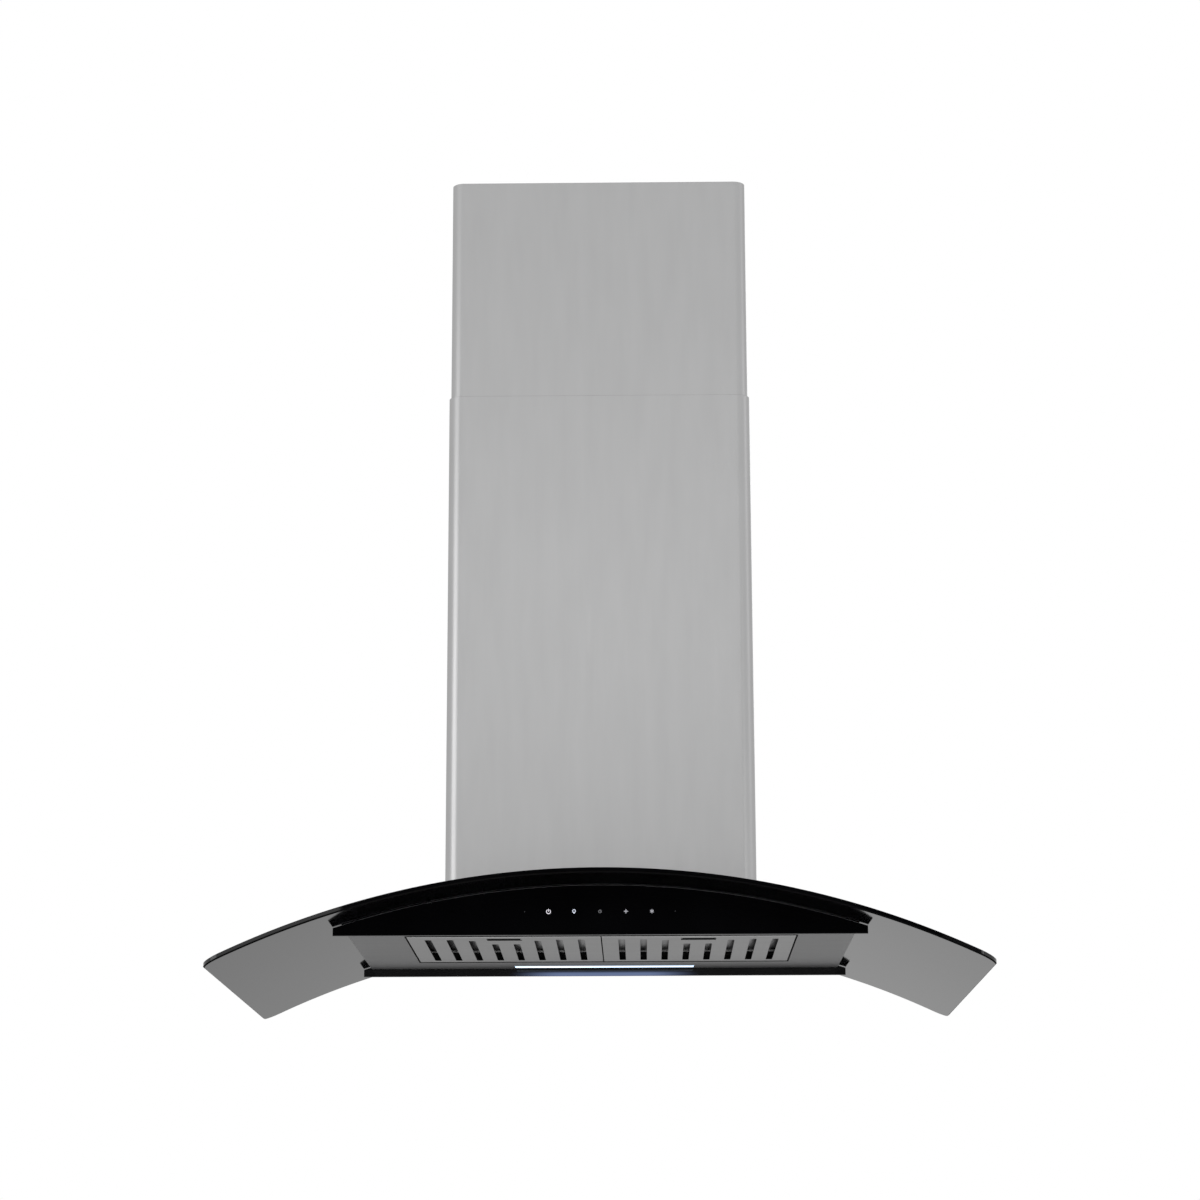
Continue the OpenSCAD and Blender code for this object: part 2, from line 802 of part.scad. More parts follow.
// Ledge that the filters' latches rest on
module latch_ledge() {
    floor_z = underside_z + body_sheet + touch;
    lip_z = underside_z + ledge_top;
    t = 1.2;
    long = 2 * open_half - 4;
    web = open_front - 0.3;
    color("silver") {
        block([-long / 2, web - 14, floor_z], [long / 2, web, floor_z + t]);
        block([-long / 2, web - t, floor_z], [long / 2, web, lip_z]);
        block([-long / 2, web - t, lip_z - t], [long / 2, lip_rear, lip_z]);
    }
}

panel_in = body_d / 2 + panel_gap;

module glass_panel() {
    intersection() {
        block([-panel_w / 2, panel_in, panel_z], [panel_w / 2, panel_in + panel_t, crown_z]);
        arch(under_r - panel_top_gap);
    }
}

module rear_panel() { color([0.05, 0.05, 0.06]) glass_panel(); }
module front_panel() { color([0.05, 0.05, 0.06]) mirror([0, 1, 0]) glass_panel(); }

pad = [40, panel_gap - 2 * touch, 8];
pad_up = 2;
pad_end_gap = 81;
pad_window_gap = 15;

// Two pads at each side: one beside the window, one near the panel's end
module panel_pads() {
    for (s = [-1, 1]) for (x = [window_w / 2 + pad_window_gap, panel_w / 2 - pad_end_gap - pad[0]])
        translate([s > 0 ? x : -x - pad[0], body_d / 2 + touch, underside_z + pad_up]) cube(pad);
}

module rear_panel_pads() { color("gray") panel_pads(); }
module front_panel_pads() { color("gray") mirror([0, 1, 0]) panel_pads(); }

// Signs on the touch panel, drawn in the plane of the panel

module power_sign() {
    r = sign_d / 2;
    difference() {
        circle(r = r);
        circle(r = r - 0.9);
        translate([-1.1, r - 2]) square([2.2, 3]);
    }
    translate([-0.45, 0]) square([0.9, r + 0.4]);
}

module lamp_sign() {
    r = sign_d * 0.37;
    translate([0, r * 0.3]) difference() {
        union() {
            circle(r = r);
            polygon([[-r * 0.86, -r * 0.5], [r * 0.86, -r * 0.5], [0.4, -r * 1.5], [-0.4, -r * 1.5]]);
        }
        circle(r = r - 0.9);
    }
}

module timer_sign() {
    r = sign_d * 0.36;
    difference() {
        circle(r = r);
        circle(r = r - 0.7);
    }
    translate([-0.3, 0]) square([0.6, r - 0.6]);
    translate([-0.3, -0.3]) square([r - 0.6, 0.6]);
}

module fan_sign() {
    r = sign_d * 0.46;
    circle(r = r * 0.28);
    for (a = [0:90:270]) rotate(a) hull() {
        translate([r * 0.42, 0]) circle(r = r * 0.25);
        translate([r * 0.85, 0]) circle(r = r * 0.15);
    }
}

module boost_sign() {
    r = sign_d * 0.43;
    circle(r = r * 0.42);
    for (a = [30:60:150]) rotate(a) square([2 * r, 0.9], center = true);
}

module sign_row() {
    translate([-2 * sign_pitch + 0.5, 0]) power_sign();
    translate([-sign_pitch, 0]) lamp_sign();
    timer_sign();
    translate([sign_pitch, 0]) fan_sign();
    translate([2 * sign_pitch, 0]) boost_sign();
    for (s = [-1, 1]) translate([s * 2.9 * sign_pitch, 0]) circle(r = 0.5);
}

module touch_signs() {
    color("lavender") translate([0, -panel_in - panel_t, sign_z]) rotate([90, 0, 0])
        linear_extrude(0.2) sign_row();
}

module control_board() {
    front = -panel_in + 0.4;
    w = window_w + 12;
    h = window_h + 6;
    color("darkgreen") translate([0, 0, sign_z]) {
        block([-w / 2, front, -h / 2], [w / 2, front + 1.6, h / 2]);
        for (i = [-2:2]) translate([i * sign_pitch, front, 0]) rotate([90, 0, 0]) cylinder(r = 6, h = 0.3);
        for (x = [-70, -20, 25]) block([x, front + 1.5, -8], [x + 18, front + 4.5, 6]);
        block([60, front + 1.5, -9], [88, front + 11, 3]);
        for (s = [-1, 1]) for (z = [-h / 2, h / 2 - 2.5])
            block([s * (w / 2 - 2) - 2, front + 1.5, z], [s * (w / 2 - 2) + 2, -body_d / 2 - touch, z + 2.5]);
    }
}

// Lamp

lamp_top = underside_z + 14.5;

module lamp_housing() {
    wall = 1.5;
    long = lamp_l + 13;
    wide = lamp_w + 10;
    base = underside_z + body_sheet + touch;
    color("lightgray") translate([0, lamp_y, 0]) difference() {
        slab(long, wide, base, lamp_top);
        slab(long - 2 * wall, wide - 2 * wall, base - 1, lamp_top - wall);
    }
}

module lamp_board() {
    top = lamp_top - 1.5 - touch;
    chips = floor((lamp_l - 6) / 15);
    color("white") translate([0, lamp_y, 0]) {
        slab(lamp_l - 4, lamp_w - 2, top - 1.6, top);
        for (i = [0:chips - 1]) translate([(i - (chips - 1) / 2) * 15, 0, 0])
            slab(3, 3, top - 2.4, top - 1.5);
    }
}

module lamp_lens() {
    color("white") {
        lens_slot(0, underside_z, underside_z + body_sheet + touch + 1);
        lens_slot(2, underside_z + body_sheet + touch, underside_z + body_sheet + 1.6);
    }
}

driver = [70, 26, 12];
driver_ear = [6, 12, 2];
driver_end_gap = 66;

module lamp_driver() {
    color("white") translate([-body_w / 2 + driver_end_gap, lamp_y - 23, underside_z + body_sheet + touch]) {
        cube(driver);
        for (x = [-driver_ear[0], driver[0]])
            translate([x - eps, (driver[1] - driver_ear[1]) / 2, 0]) cube(driver_ear + [2 * eps, 0, 0]);
    }
}

// Filters: drawn with the middle of the face's lower side at x = 0, z = 0

// Front end of slot i, counted from the left
function slot_front(i) = let (m = abs(i - (slot_count - 1) / 2))
    m < 1 ? pull_front + pull_d + 33 : m < 2 ? pull_front + pull_d : filter_front + slot_front_margin;

module slot_cuts() {
    for (i = [0:slot_count - 1])
        translate([(i - (slot_count - 1) / 2) * slot_pitch - slot_w / 2, slot_front(i), -1])
            cube([slot_w, filter_rear - slot_rear_margin - slot_front(i), 5]);
}

module filter_tray() {
    guide_x = tongue_w / 2 + 0.4;
    guide_l = finger_y - 0.6 - filter_front - face_t;
    color("silver") {
        difference() {
            block([-filter_w / 2, filter_front, 0], [filter_w / 2, filter_rear, filter_h]);
            block([-filter_w / 2 + face_t, filter_front + face_t, face_t],
                [filter_w / 2 - face_t, filter_rear - face_t, filter_h + 1]);
            slot_cuts();
            block([-pull_w / 2, pull_front, -1], [pull_w / 2, pull_front + pull_d, face_t + 1]);
            block([-guide_x, filter_front - 1, tongue_up - 0.3],
                [guide_x, filter_front + 2, tongue_up + tongue_t + 0.4]);
        }
        for (s = [-1, 1]) {
            translate([s * (guide_x + 0.6) - 0.6, filter_front + face_t - eps, face_t - eps])
                cube([1.2, guide_l, tongue_up + tongue_t - face_t]);
            translate([s * (guide_x - 1) - 1.1, filter_front + face_t - eps, tongue_up - 1.8])
                cube([2.2, guide_l, 1.5]);
            translate([s * filter_w * 0.32 - 10, filter_rear - eps, body_sheet + 0.4])
                cube([20, filter_rear_gap + 5, 1]);
        }
    }
}

module baffle_sheet() {
    fit = 0.2;
    baffle_margin = 50;
    color("darkgray") difference() {
        block([-filter_w / 2 + face_t + fit, filter_front + face_t + fit, baffle_up],
            [filter_w / 2 - face_t - fit, filter_rear - face_t - fit, baffle_up + 1]);
        for (i = [0:slot_count - 2])
            translate([(i - (slot_count - 2) / 2) * slot_pitch - slot_w / 2, filter_front + baffle_margin,
                baffle_up - 1]) cube([slot_w, filter_d - baffle_margin - slot_rear_margin, 3]);
    }
}

module latch() {
    color("dimgray") {
        block([-tongue_w / 2, tongue_tip, tongue_up], [tongue_w / 2, finger_y + 3, tongue_up + tongue_t]);
        block([-pull_w / 2 + 2, finger_y, 0.2], [pull_w / 2 - 2, finger_y + 1.5, tongue_up + 0.1]);
    }
}

module filter_left() { translate([-filter_x, 0, underside_z]) filter_tray(); }
module filter_right() { translate([filter_x, 0, underside_z]) filter_tray(); }
module baffle_left() { translate([-filter_x, 0, underside_z]) baffle_sheet(); }
module baffle_right() { translate([filter_x, 0, underside_z]) baffle_sheet(); }
module latch_left() { translate([-filter_x, 0, underside_z]) latch(); }
module latch_right() { translate([filter_x, 0, underside_z]) latch(); }

ceiling_plate();
upper_rail_front_left();
upper_rail_front_right();
upper_rail_rear_left();
upper_rail_rear_right();
upper_rail_screws();
upper_cover_front();
upper_cover_rear();
upper_cover_screws();
lower_rail_front_left();
lower_rail_front_right();
lower_rail_rear_left();
lower_rail_rear_right();
height_bolts();
height_nuts();
lower_cover_front();
lower_cover_rear();
lower_cover_screws();
motor_box();
motor_plate();
pan_screws();
blower_scroll();
blower_motor();
motor_bracket();
motor_shaft();
impeller();
impeller_rings();
capacitor();
terminal_box();
terminal_lid();
cable_gland();
outlet_collar();
damper_pin();
damper_flap_front();
damper_flap_rear();
canopy_glass();
glass_gasket();
glass_clips();
body_shell();
latch_ledge();
front_panel();
rear_panel();
front_panel_pads();
rear_panel_pads();
touch_signs();
control_board();
lamp_housing();
lamp_board();
lamp_lens();
lamp_driver();
filter_left();
filter_right();
baffle_left();
baffle_right();
latch_left();
latch_right();
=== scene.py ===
"""Dresses the island range hood: its sheet covers, arched glass, panels, filters, lamp and finishes."""

import json
import math

import bmesh
import bpy
from bpy.props import FloatProperty, FloatVectorProperty, IntProperty, PointerProperty
from mathutils import Matrix, Vector


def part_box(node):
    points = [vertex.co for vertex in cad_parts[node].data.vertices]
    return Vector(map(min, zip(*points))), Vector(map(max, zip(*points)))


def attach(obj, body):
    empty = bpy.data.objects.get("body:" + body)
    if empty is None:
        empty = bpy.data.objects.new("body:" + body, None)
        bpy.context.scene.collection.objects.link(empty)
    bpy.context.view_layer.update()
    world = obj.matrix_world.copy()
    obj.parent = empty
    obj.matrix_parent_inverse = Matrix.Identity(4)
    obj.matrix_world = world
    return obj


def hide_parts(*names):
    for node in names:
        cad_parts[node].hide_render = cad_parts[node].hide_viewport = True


bl_info = {
    "name": "Island hood dressing",
    "version": (1, 0, 0),
    "blender": (4, 5, 0),
    "location": "3D View > Sidebar > Hood",
    "description": "Builds the visible surfaces of an island range hood round its packed solids",
    "category": "Add Mesh",
}

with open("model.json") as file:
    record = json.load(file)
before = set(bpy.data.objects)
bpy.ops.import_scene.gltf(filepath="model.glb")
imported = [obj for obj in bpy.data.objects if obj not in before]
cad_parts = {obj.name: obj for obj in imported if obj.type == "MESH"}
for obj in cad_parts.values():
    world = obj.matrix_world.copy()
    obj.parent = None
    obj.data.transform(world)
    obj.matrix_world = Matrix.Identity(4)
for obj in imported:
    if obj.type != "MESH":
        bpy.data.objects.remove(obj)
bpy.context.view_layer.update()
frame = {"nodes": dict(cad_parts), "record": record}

GLASS_LOW, GLASS_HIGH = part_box("canopy_glass")
BODY_LOW, BODY_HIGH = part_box("body_shell")
PANEL_LOW, PANEL_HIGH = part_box("front_panel")
UPPER_LOW, UPPER_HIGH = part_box("upper_cover_front")
LOWER_LOW, LOWER_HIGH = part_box("lower_cover_front")
FILTER_LOW, FILTER_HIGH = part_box("filter_right")
LENS_LOW, LENS_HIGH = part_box("lamp_lens")
CROWN = GLASS_HIGH.z
UNDERSIDE = BODY_LOW.z
PANEL_IN = -PANEL_HIGH.y

SIDES = (-1, 1)
NEAR = 1e-6                      # metres within which two places are the same
CLOSE = 1e-5                     # the same for places that a bevel has moved a little
FOLD_ANGLE, SHARP_ANGLE = 60, 32  # degrees from which edges are bevelled, and drawn sharp
SCREW_HEAD = (0.004, 0.0006)     # radius and height
LENS_HALF = (0.1145, 0.011)      # half width and half depth of the lamp's window
LENS_Y = 0.179                   # its middle
LENS_GAP = 0.0003                # between the window and the sheet
SHEARED = 0.00015                # broken edge along sheared sheet
FILTER_FOLD, FILTER_RIM = 0.00018, 0.00012
RAIL_LOW, RAIL_DEEP, RAIL_END = 0.0116, 0.0008, 0.0012


def length(name, text, default, low=0.0, high=2.0):
    """A size in metres for the panel."""
    return FloatProperty(name=name, description=text, default=default, min=low, max=high,
                         subtype="DISTANCE", unit="LENGTH", precision=4)


def colour(name, text, default):
    """A colour for the panel, in linear light."""
    return FloatVectorProperty(name=name, description=text, default=default, min=0.0, max=1.0,
                               size=3, subtype="COLOR")


class HoodSizes(bpy.types.PropertyGroup):
    """Sizes of the visible pieces, in metres"""

    arch_radius: length("Arch radius", "Outer radius of the arched glass", 1.016786, 0.8, 2.0)
    seat_radius: length("Seat radius", "Radius that the body and panels are cut to", 1.008586, 0.8, 2.0)
    cover_radius: length("Cover radius", "Radius that the lower cover is cut to", 1.017186, 0.8, 2.0)
    glass_thick: length("Glass thickness", "Thickness of the arched glass", 0.006)
    glass_corner: length("Glass corner", "Corner radius of the arched glass", 0.020)
    panel_radius: length("Panel radius", "Radius of the panels' arched tops", 1.010286, 0.8, 2.0)
    lower_chamfer: length("Lower chamfer", "Chamfer along the lower edges of the glass", 0.0017)
    upper_arris: length("Upper arris", "Small chamfer along the upper edges of the glass", 0.0004)
    glass_opening: FloatVectorProperty(
        name="Glass opening", description="Half width and half depth of the cut-out in the glass",
        default=(0.1565, 0.1385), size=2, subtype="XYZ", unit="LENGTH")
    sheet: length("Cover sheet", "Thickness of the chimney covers", 0.0008)
    seam: length("Side seam", "Gap between the front and rear halves of a cover", 0.0003)
    upper_corner: length("Upper corner", "Corner radius of the upper cover", 0.014)
    lower_corner: length("Lower corner", "Corner radius of the lower cover", 0.0162)
    body_sheet: length("Body sheet", "Thickness of the body's sheet", 0.0012)
    body_rim: length("Body rim", "Width of the rim that the glass rests on", 0.012)
    filter_open: FloatVectorProperty(
        name="Filter opening", description="Half width, front and rear of the opening for the filters",
        default=(0.234, -0.1285, 0.133), size=3, subtype="XYZ", unit="LENGTH")
    face_sheet: length("Filter sheet", "Thickness of the filters' sheet", 0.001)
    slot_count: IntProperty(name="Slots", description="Slots in each filter", default=8, min=2, max=12)
    slot_pitch: length("Slot pitch", "Distance from slot to slot", 0.0263)
    slot_width: length("Slot width", "Width of a slot", 0.008)
    slot_end: length("Slot end", "Rear end of the slots", 0.112, -1.0)
    hinge_gap: length("Hinge gap", "Gap behind the filters, bridged by the hinge tabs", 0.008)
    pull_width: length("Pull width", "Width of the finger opening", 0.042)
    pull_depth: length("Pull depth", "Depth of the finger opening", 0.020)
    pull_margin: length("Pull margin", "Sheet in front of the finger opening", 0.015)


class HoodFinishes(bpy.types.PropertyGroup):
    """Colours of the visible finishes"""

    steel: colour("Satin steel", "Chimney covers", (0.388, 0.388, 0.390))
    body: colour("Body steel", "Sheet round the filters", (0.125, 0.125, 0.127))
    filter: colour("Filter steel", "Filter faces and their inner sheets", (0.36, 0.36, 0.36))
    glass: colour("Black glass", "Canopy and panels", (0.0022, 0.0022, 0.0026))
    arris: colour("Arris", "Ground arris along the top of the panels", (0.34, 0.34, 0.35))
    seal: colour("Seal", "Silicone strip between the body and the glass", (0.34, 0.34, 0.35))
    lamp: colour("Lamp", "Light of the lamp strip", (0.60, 0.78, 1.0))
    # Painted glow: emission on the rear panel that stands in for the lamp's light falling on it
    painted_lamp_glow: colour("Caught light", "Lamp's light on the rear panel", (0.42, 0.56, 1.0))
    floor: colour("Floor", "Studio floor", (0.87, 0.87, 0.87))


# Finishes

MADE = {}


class Finish:
    """One procedural material: a Principled shader and the pattern nodes that feed it."""

    def __init__(self, name, **sockets):
        self.material = bpy.data.materials.new(name)
        self.material.use_nodes = True
        tree = self.material.node_tree
        self.nodes, self.links = tree.nodes, tree.links
        self.shader = self.nodes["Principled BSDF"]
        self.where = self.nodes.new("ShaderNodeTexCoord").outputs["Object"]
        for socket, value in sockets.items():
            self.set(socket.replace("_", " "), value)
        MADE[name] = self.material

    def set(self, socket, value):
        """Sets a uniform value on the shader's own socket."""
        if isinstance(value, (tuple, list)) and len(value) == 3:
            value = (*value, 1.0)
        self.shader.inputs[socket].default_value = value

    def node(self, kind, **settings):
        made = self.nodes.new(kind)
        for key, value in settings.items():
            if hasattr(made, key):
                setattr(made, key, value)
            else:
                made.inputs[key.replace("_", " ")].default_value = value
        return made

    def stretched(self, scale):
        """The object's coordinates, scaled along each axis."""
        mapping = self.node("ShaderNodeMapping")
        mapping.inputs["Scale"].default_value = scale
        self.links.new(self.where, mapping.inputs["Vector"])
        return mapping.outputs["Vector"]

    def noise(self, scale, stretch=(1, 1, 1), detail=3.0, rough=0.5):
        noise = self.node("ShaderNodeTexNoise", Scale=scale, Detail=detail, Roughness=rough)
        self.links.new(self.stretched(stretch), noise.inputs["Vector"])
        return noise.outputs["Fac"]

    def cells(self, scale):
        cells = self.node("ShaderNodeTexVoronoi", Scale=scale)
        self.links.new(self.stretched((1, 1, 1)), cells.inputs["Vector"])
        return cells.outputs["Color"]

    def fade(self, axis, middle, end, full):
        """One near a middle line across an axis, falling to zero a little way off."""
        place = self.node("ShaderNodeSeparateXYZ")
        self.links.new(self.where, place.inputs["Vector"])
        off = self.node("ShaderNodeMath", operation="SUBTRACT")
        self.links.new(place.outputs[axis], off.inputs[0])
        off.inputs[1].default_value = middle
        away = self.node("ShaderNodeMath", operation="ABSOLUTE")
        self.links.new(off.outputs[0], away.inputs[0])
        ranged = self.node("ShaderNodeMapRange", interpolation_type="SMOOTHSTEP")
        ranged.inputs["From Min"].default_value = end
        ranged.inputs["From Max"].default_value = full
        self.links.new(away.outputs[0], ranged.inputs["Value"])
        return ranged.outputs["Result"]

    def spread(self, value, low, high, start=0.3, end=0.7):
        """Maps a pattern from start..end to low..high."""
        ranged = self.node("ShaderNodeMapRange")
        for socket, number in (("From Min", start), ("From Max", end), ("To Min", low), ("To Max", high)):
            ranged.inputs[socket].default_value = number
        self.links.new(value, ranged.inputs["Value"])
        return ranged.outputs["Result"]

    def tint(self, value, low, high, start=0.3, end=0.7):
        """Base colour between two shades, by a pattern."""
        ramp = self.node("ShaderNodeValToRGB")
        ramp.color_ramp.elements[0].position = start
        ramp.color_ramp.elements[1].position = end
        ramp.color_ramp.elements[0].color = (*low, 1.0)
        ramp.color_ramp.elements[1].color = (*high, 1.0)
        self.links.new(value, ramp.inputs["Fac"])
        self.links.new(ramp.outputs["Color"], self.shader.inputs["Base Color"])
        return self

    def rough(self, value, low, high):
        self.links.new(self.spread(value, low, high), self.shader.inputs["Roughness"])
        return self

    def bump(self, value, strength, distance):
        bump = self.node("ShaderNodeBump", Strength=strength, Distance=distance)
        self.links.new(value, bump.inputs["Height"])
        last = self.shader.inputs["Normal"]
        if last.is_linked:
            self.links.new(last.links[0].from_socket, bump.inputs["Normal"])
        self.links.new(bump.outputs["Normal"], last)
        return self


def shade(base, factor):
    return tuple(min(1.0, channel * factor) for channel in base)


def brushed(name, base, grain, roughness, edge_tint=0.8, drift=0.02, depth=0.00002, metallic=1.0):
    """Satin stainless sheet: hair-fine brushing along one axis and a slow drift in tone."""
    finish = Finish(name, Metallic=metallic, Specular_Tint=(edge_tint,) * 3)
    hair = finish.noise(1.0, grain, detail=2.0, rough=0.6)
    streak = finish.noise(1.0, tuple(min(60.0, scale) for scale in grain), detail=2.5)
    finish.tint(streak, shade(base, 1 - drift), shade(base, 1 + drift))
    finish.rough(hair, roughness - 0.03, roughness + 0.03)
    finish.bump(hair, 0.25, depth)


def make_finishes(look):
    """Every finish of the hood, each with the detail that its real surface has."""
    up, along = (1500, 1500, 9), (9, 1500, 1500)
    brushed("satin_steel", look.steel, up, 0.34)
    brushed("body_steel", look.body, along, 0.36, 0.35, 0.05, metallic=0.7)
    brushed("filter_steel", look.filter, along, 0.36, 0.4, 0.04)
    # Painted shade: a near black copy of the steel, put on the filters' insides, the rear edge of their
    # opening and the covers' top rims
    brushed("painted_shade_steel", (0.03, 0.03, 0.03), along, 0.55)
    # Painted highlight: a light copy of the steel, put on the filters' front and rear folds and their inner
    # lips
    brushed("painted_highlight_steel", (0.80, 0.80, 0.80), along, 0.45)

    # Painted shade: the filters' inner sheets are a much darker copy of the filter steel, for the shade
    # inside the filters
    inner = Finish("painted_shade_inner_sheet", Metallic=0.9, Specular_IOR_Level=0.3)
    grain = inner.noise(1.0, (30, 900, 900), detail=2.0)
    inner.tint(grain, (0.110, 0.110, 0.112), (0.130, 0.130, 0.132)).rough(grain, 0.34, 0.42)

    for name, weight, haze in (("black_glass", 0.5, 0.07), ("touch_glass", 0.2, 0.02),
                               ("polished_edge", 1.0, 0.02), ("dull_chamfer", 0.06, 0.02)):
        glass = Finish(name, Specular_IOR_Level=0.0, Coat_Weight=weight, Coat_Roughness=haze)
        film = glass.noise(9.0, detail=4.0)
        glass.tint(film, shade(look.glass, 0.7), shade(look.glass, 1.3)).rough(film, 0.25, 0.35)

    arris = Finish("ground_arris", Specular_IOR_Level=0.5)
    grit = arris.noise(2600.0, detail=2.0)
    arris.tint(grit, shade(look.arris, 0.8), shade(look.arris, 1.2)).rough(grit, 0.35, 0.5)
    back_glass(look)

    seal = Finish("grey_silicone", Subsurface_Weight=0.15, Subsurface_Scale=0.002)
    cloud = seal.noise(160.0, detail=2.0)
    seal.tint(cloud, shade(look.seal, 0.85), shade(look.seal, 1.1)).rough(cloud, 0.4, 0.55)
    seal.bump(cloud, 0.2, 0.00005)

    foam = Finish("black_foam", Roughness=0.9, Specular_IOR_Level=0.05)
    pores = foam.noise(1400.0, detail=3.0)
    foam.tint(pores, (0.004, 0.004, 0.004), (0.012, 0.012, 0.012)).bump(pores, 0.6, 0.0004)

    # Painted shade: this zinc is darker than bare zinc, so that the parts inside the body look shaded
    zinc = Finish("galvanised", Metallic=1.0, Specular_Tint=(0.8, 0.8, 0.8))
    spangle = zinc.cells(120.0)
    frost = zinc.noise(240.0, detail=3.0)
    zinc.tint(spangle, (0.27, 0.275, 0.285), (0.33, 0.335, 0.35), 0.1, 0.9)
    zinc.rough(spangle, 0.42, 0.50).bump(frost, 0.12, 0.00005)

    plated = Finish("bright_steel", Metallic=1.0)
    scuff = plated.noise(420.0, detail=3.0)
    plated.tint(scuff, (0.50, 0.505, 0.51), (0.62, 0.625, 0.63)).rough(scuff, 0.2, 0.36)
    plated.bump(scuff, 0.1, 0.00003)

    black = Finish("dark_steel", Metallic=0.8)
    scuff = black.noise(300.0, detail=4.0)
    black.tint(scuff, (0.02, 0.02, 0.021), (0.055, 0.055, 0.058)).rough(scuff, 0.38, 0.6)
    black.bump(scuff, 0.15, 0.00005)

    latch = Finish("latch_black", Roughness=0.6, Specular_IOR_Level=0.1)
    wear = latch.noise(240.0, detail=4.0)
    latch.tint(wear, (0.004, 0.004, 0.004), (0.009, 0.009, 0.009)).bump(wear, 0.15, 0.00005)

    for name, dark, light, low, high in (
            ("black_plastic", (0.016, 0.016, 0.017), (0.026, 0.026, 0.028), 0.42, 0.55),
            ("grey_plastic", (0.20, 0.21, 0.225), (0.26, 0.27, 0.285), 0.4, 0.52),
            ("white_plastic", (0.60, 0.60, 0.585), (0.70, 0.70, 0.69), 0.38, 0.5)):
        moulded = Finish(name)
        grain = moulded.noise(1100.0, detail=2.0)
        moulded.tint(grain, dark, light).rough(grain, low, high).bump(grain, 0.25, 0.00008)

    casting = Finish("motor_casting", Metallic=0.9)
    grain = casting.noise(520.0, detail=3.0)
    casting.tint(grain, (0.24, 0.24, 0.25), (0.36, 0.36, 0.375)).rough(grain, 0.5, 0.66)
    casting.bump(grain, 0.4, 0.0002)

    rolled = Finish("aluminium_sheet", Metallic=1.0)
    lines = rolled.noise(1.0, (12, 900, 900), detail=2.0)
    rolled.tint(lines, (0.56, 0.56, 0.57), (0.66, 0.66, 0.67)).rough(lines, 0.28, 0.4)
    rolled.bump(lines, 0.1, 0.00003)

    board = Finish("board_green", Roughness=0.32)
    tracks = board.cells(160.0)
    board.tint(tracks, (0.008, 0.06, 0.024), (0.014, 0.10, 0.04), 0.2, 0.6).bump(tracks, 0.3, 0.0001)

    lens = Finish("lens_white", Roughness=0.4)
    chips = lens.noise(60.0, detail=1.0)
    lens.tint(chips, (0.28, 0.34, 0.42), (0.33, 0.39, 0.48))
    lens.set("Emission Color", tuple(look.lamp))
    middle_y, half_y = (LENS_LOW.y + LENS_HIGH.y) / 2, (LENS_HIGH.y - LENS_LOW.y) / 2
    glow = lens.fade("Y", middle_y + 0.004, half_y * 0.72, half_y * 0.36)
    strength = lens.node("ShaderNodeMath", operation="MULTIPLY_ADD")
    lens.links.new(glow, strength.inputs[0])
    strength.inputs[1].default_value, strength.inputs[2].default_value = 2.2, 0.05
    lens.links.new(strength.outputs[0], lens.shader.inputs["Emission Strength"])

    signs = Finish("sign_white", Roughness=0.4, Emission_Strength=0.8)
    signs.tint(signs.noise(500.0), (0.03, 0.03, 0.033), (0.05, 0.05, 0.054))
    ramp = signs.node("ShaderNodeValToRGB")
    ramp.color_ramp.interpolation = "CONSTANT"
    first, second = ramp.color_ramp.elements
    first.color = (0.02, 0.02, 0.024, 1.0)
    second.position, second.color = 0.13, (0.95, 0.92, 1.0, 1.0)
    for position, value in ((0.275, (0.80, 0.86, 1.0)), (0.425, (0.12, 0.12, 0.13)),
                            (0.575, (0.42, 0.42, 0.46)), (0.87, (0.01, 0.01, 0.012))):
        ramp.color_ramp.elements.new(position).color = (*value, 1.0)
    across = signs.node("ShaderNodeSeparateXYZ")
    signs.links.new(signs.where, across.inputs["Vector"])
    signs.links.new(signs.spread(across.outputs["X"], 0.0, 1.0, -0.1, 0.1), ramp.inputs["Fac"])
    signs.links.new(ramp.outputs["Color"], signs.shader.inputs["Emission Color"])


def back_glass(look):
    """Glass of the rear panel, with a painted glow of the lamp's light along its lower edge."""
    glass = Finish("back_glass", Specular_IOR_Level=0.0, Coat_Weight=0.28, Coat_Roughness=0.03,
                   Emission_Strength=0.30)
    film = glass.noise(14.0, detail=4.0)
    glass.tint(film, (0.011, 0.011, 0.0115), (0.018, 0.018, 0.0185)).rough(film, 0.25, 0.4)
    # Painted glow: emission near the lamp along the panel's lower edge and inner face, in place of the
    # lamp's light on the glass
    along = glass.fade("X", 0.0, LENS_HIGH.x + 0.008, LENS_HIGH.x * 0.45)
    edge = glass.fade("Z", PANEL_LOW.z, 0.0066, 0.0028)
    face = glass.fade("Y", PANEL_IN, 0.0006, 0.0003)
    painted_lamp_glow = along
    for fade in (edge, face):
        both = glass.node("ShaderNodeMath", operation="MULTIPLY")
        glass.links.new(painted_lamp_glow, both.inputs[0])
        glass.links.new(fade, both.inputs[1])
        painted_lamp_glow = both.outputs[0]
    ramp = glass.node("ShaderNodeValToRGB")
    ramp.color_ramp.elements[0].color = (0, 0, 0, 1)
    ramp.color_ramp.elements[1].color = (*look.painted_lamp_glow, 1)
    glass.links.new(painted_lamp_glow, ramp.inputs["Fac"])
    glass.links.new(ramp.outputs["Color"], glass.shader.inputs["Emission Color"])


# Shaping helpers


def arc(x, radius, sizes):
    """Height of an arch of that radius, x beside the middle of the hood."""
    return CROWN - sizes.arch_radius + math.sqrt(radius * radius - x * x)


def everything(bm):
    return bm.verts[:] + bm.edges[:] + bm.faces[:]


def cut(bm, point, normal, **options):
    """Cuts all of a mesh along a plane."""
    bmesh.ops.bisect_plane(bm, geom=everything(bm), dist=1e-7, plane_co=point, plane_no=normal, **options)


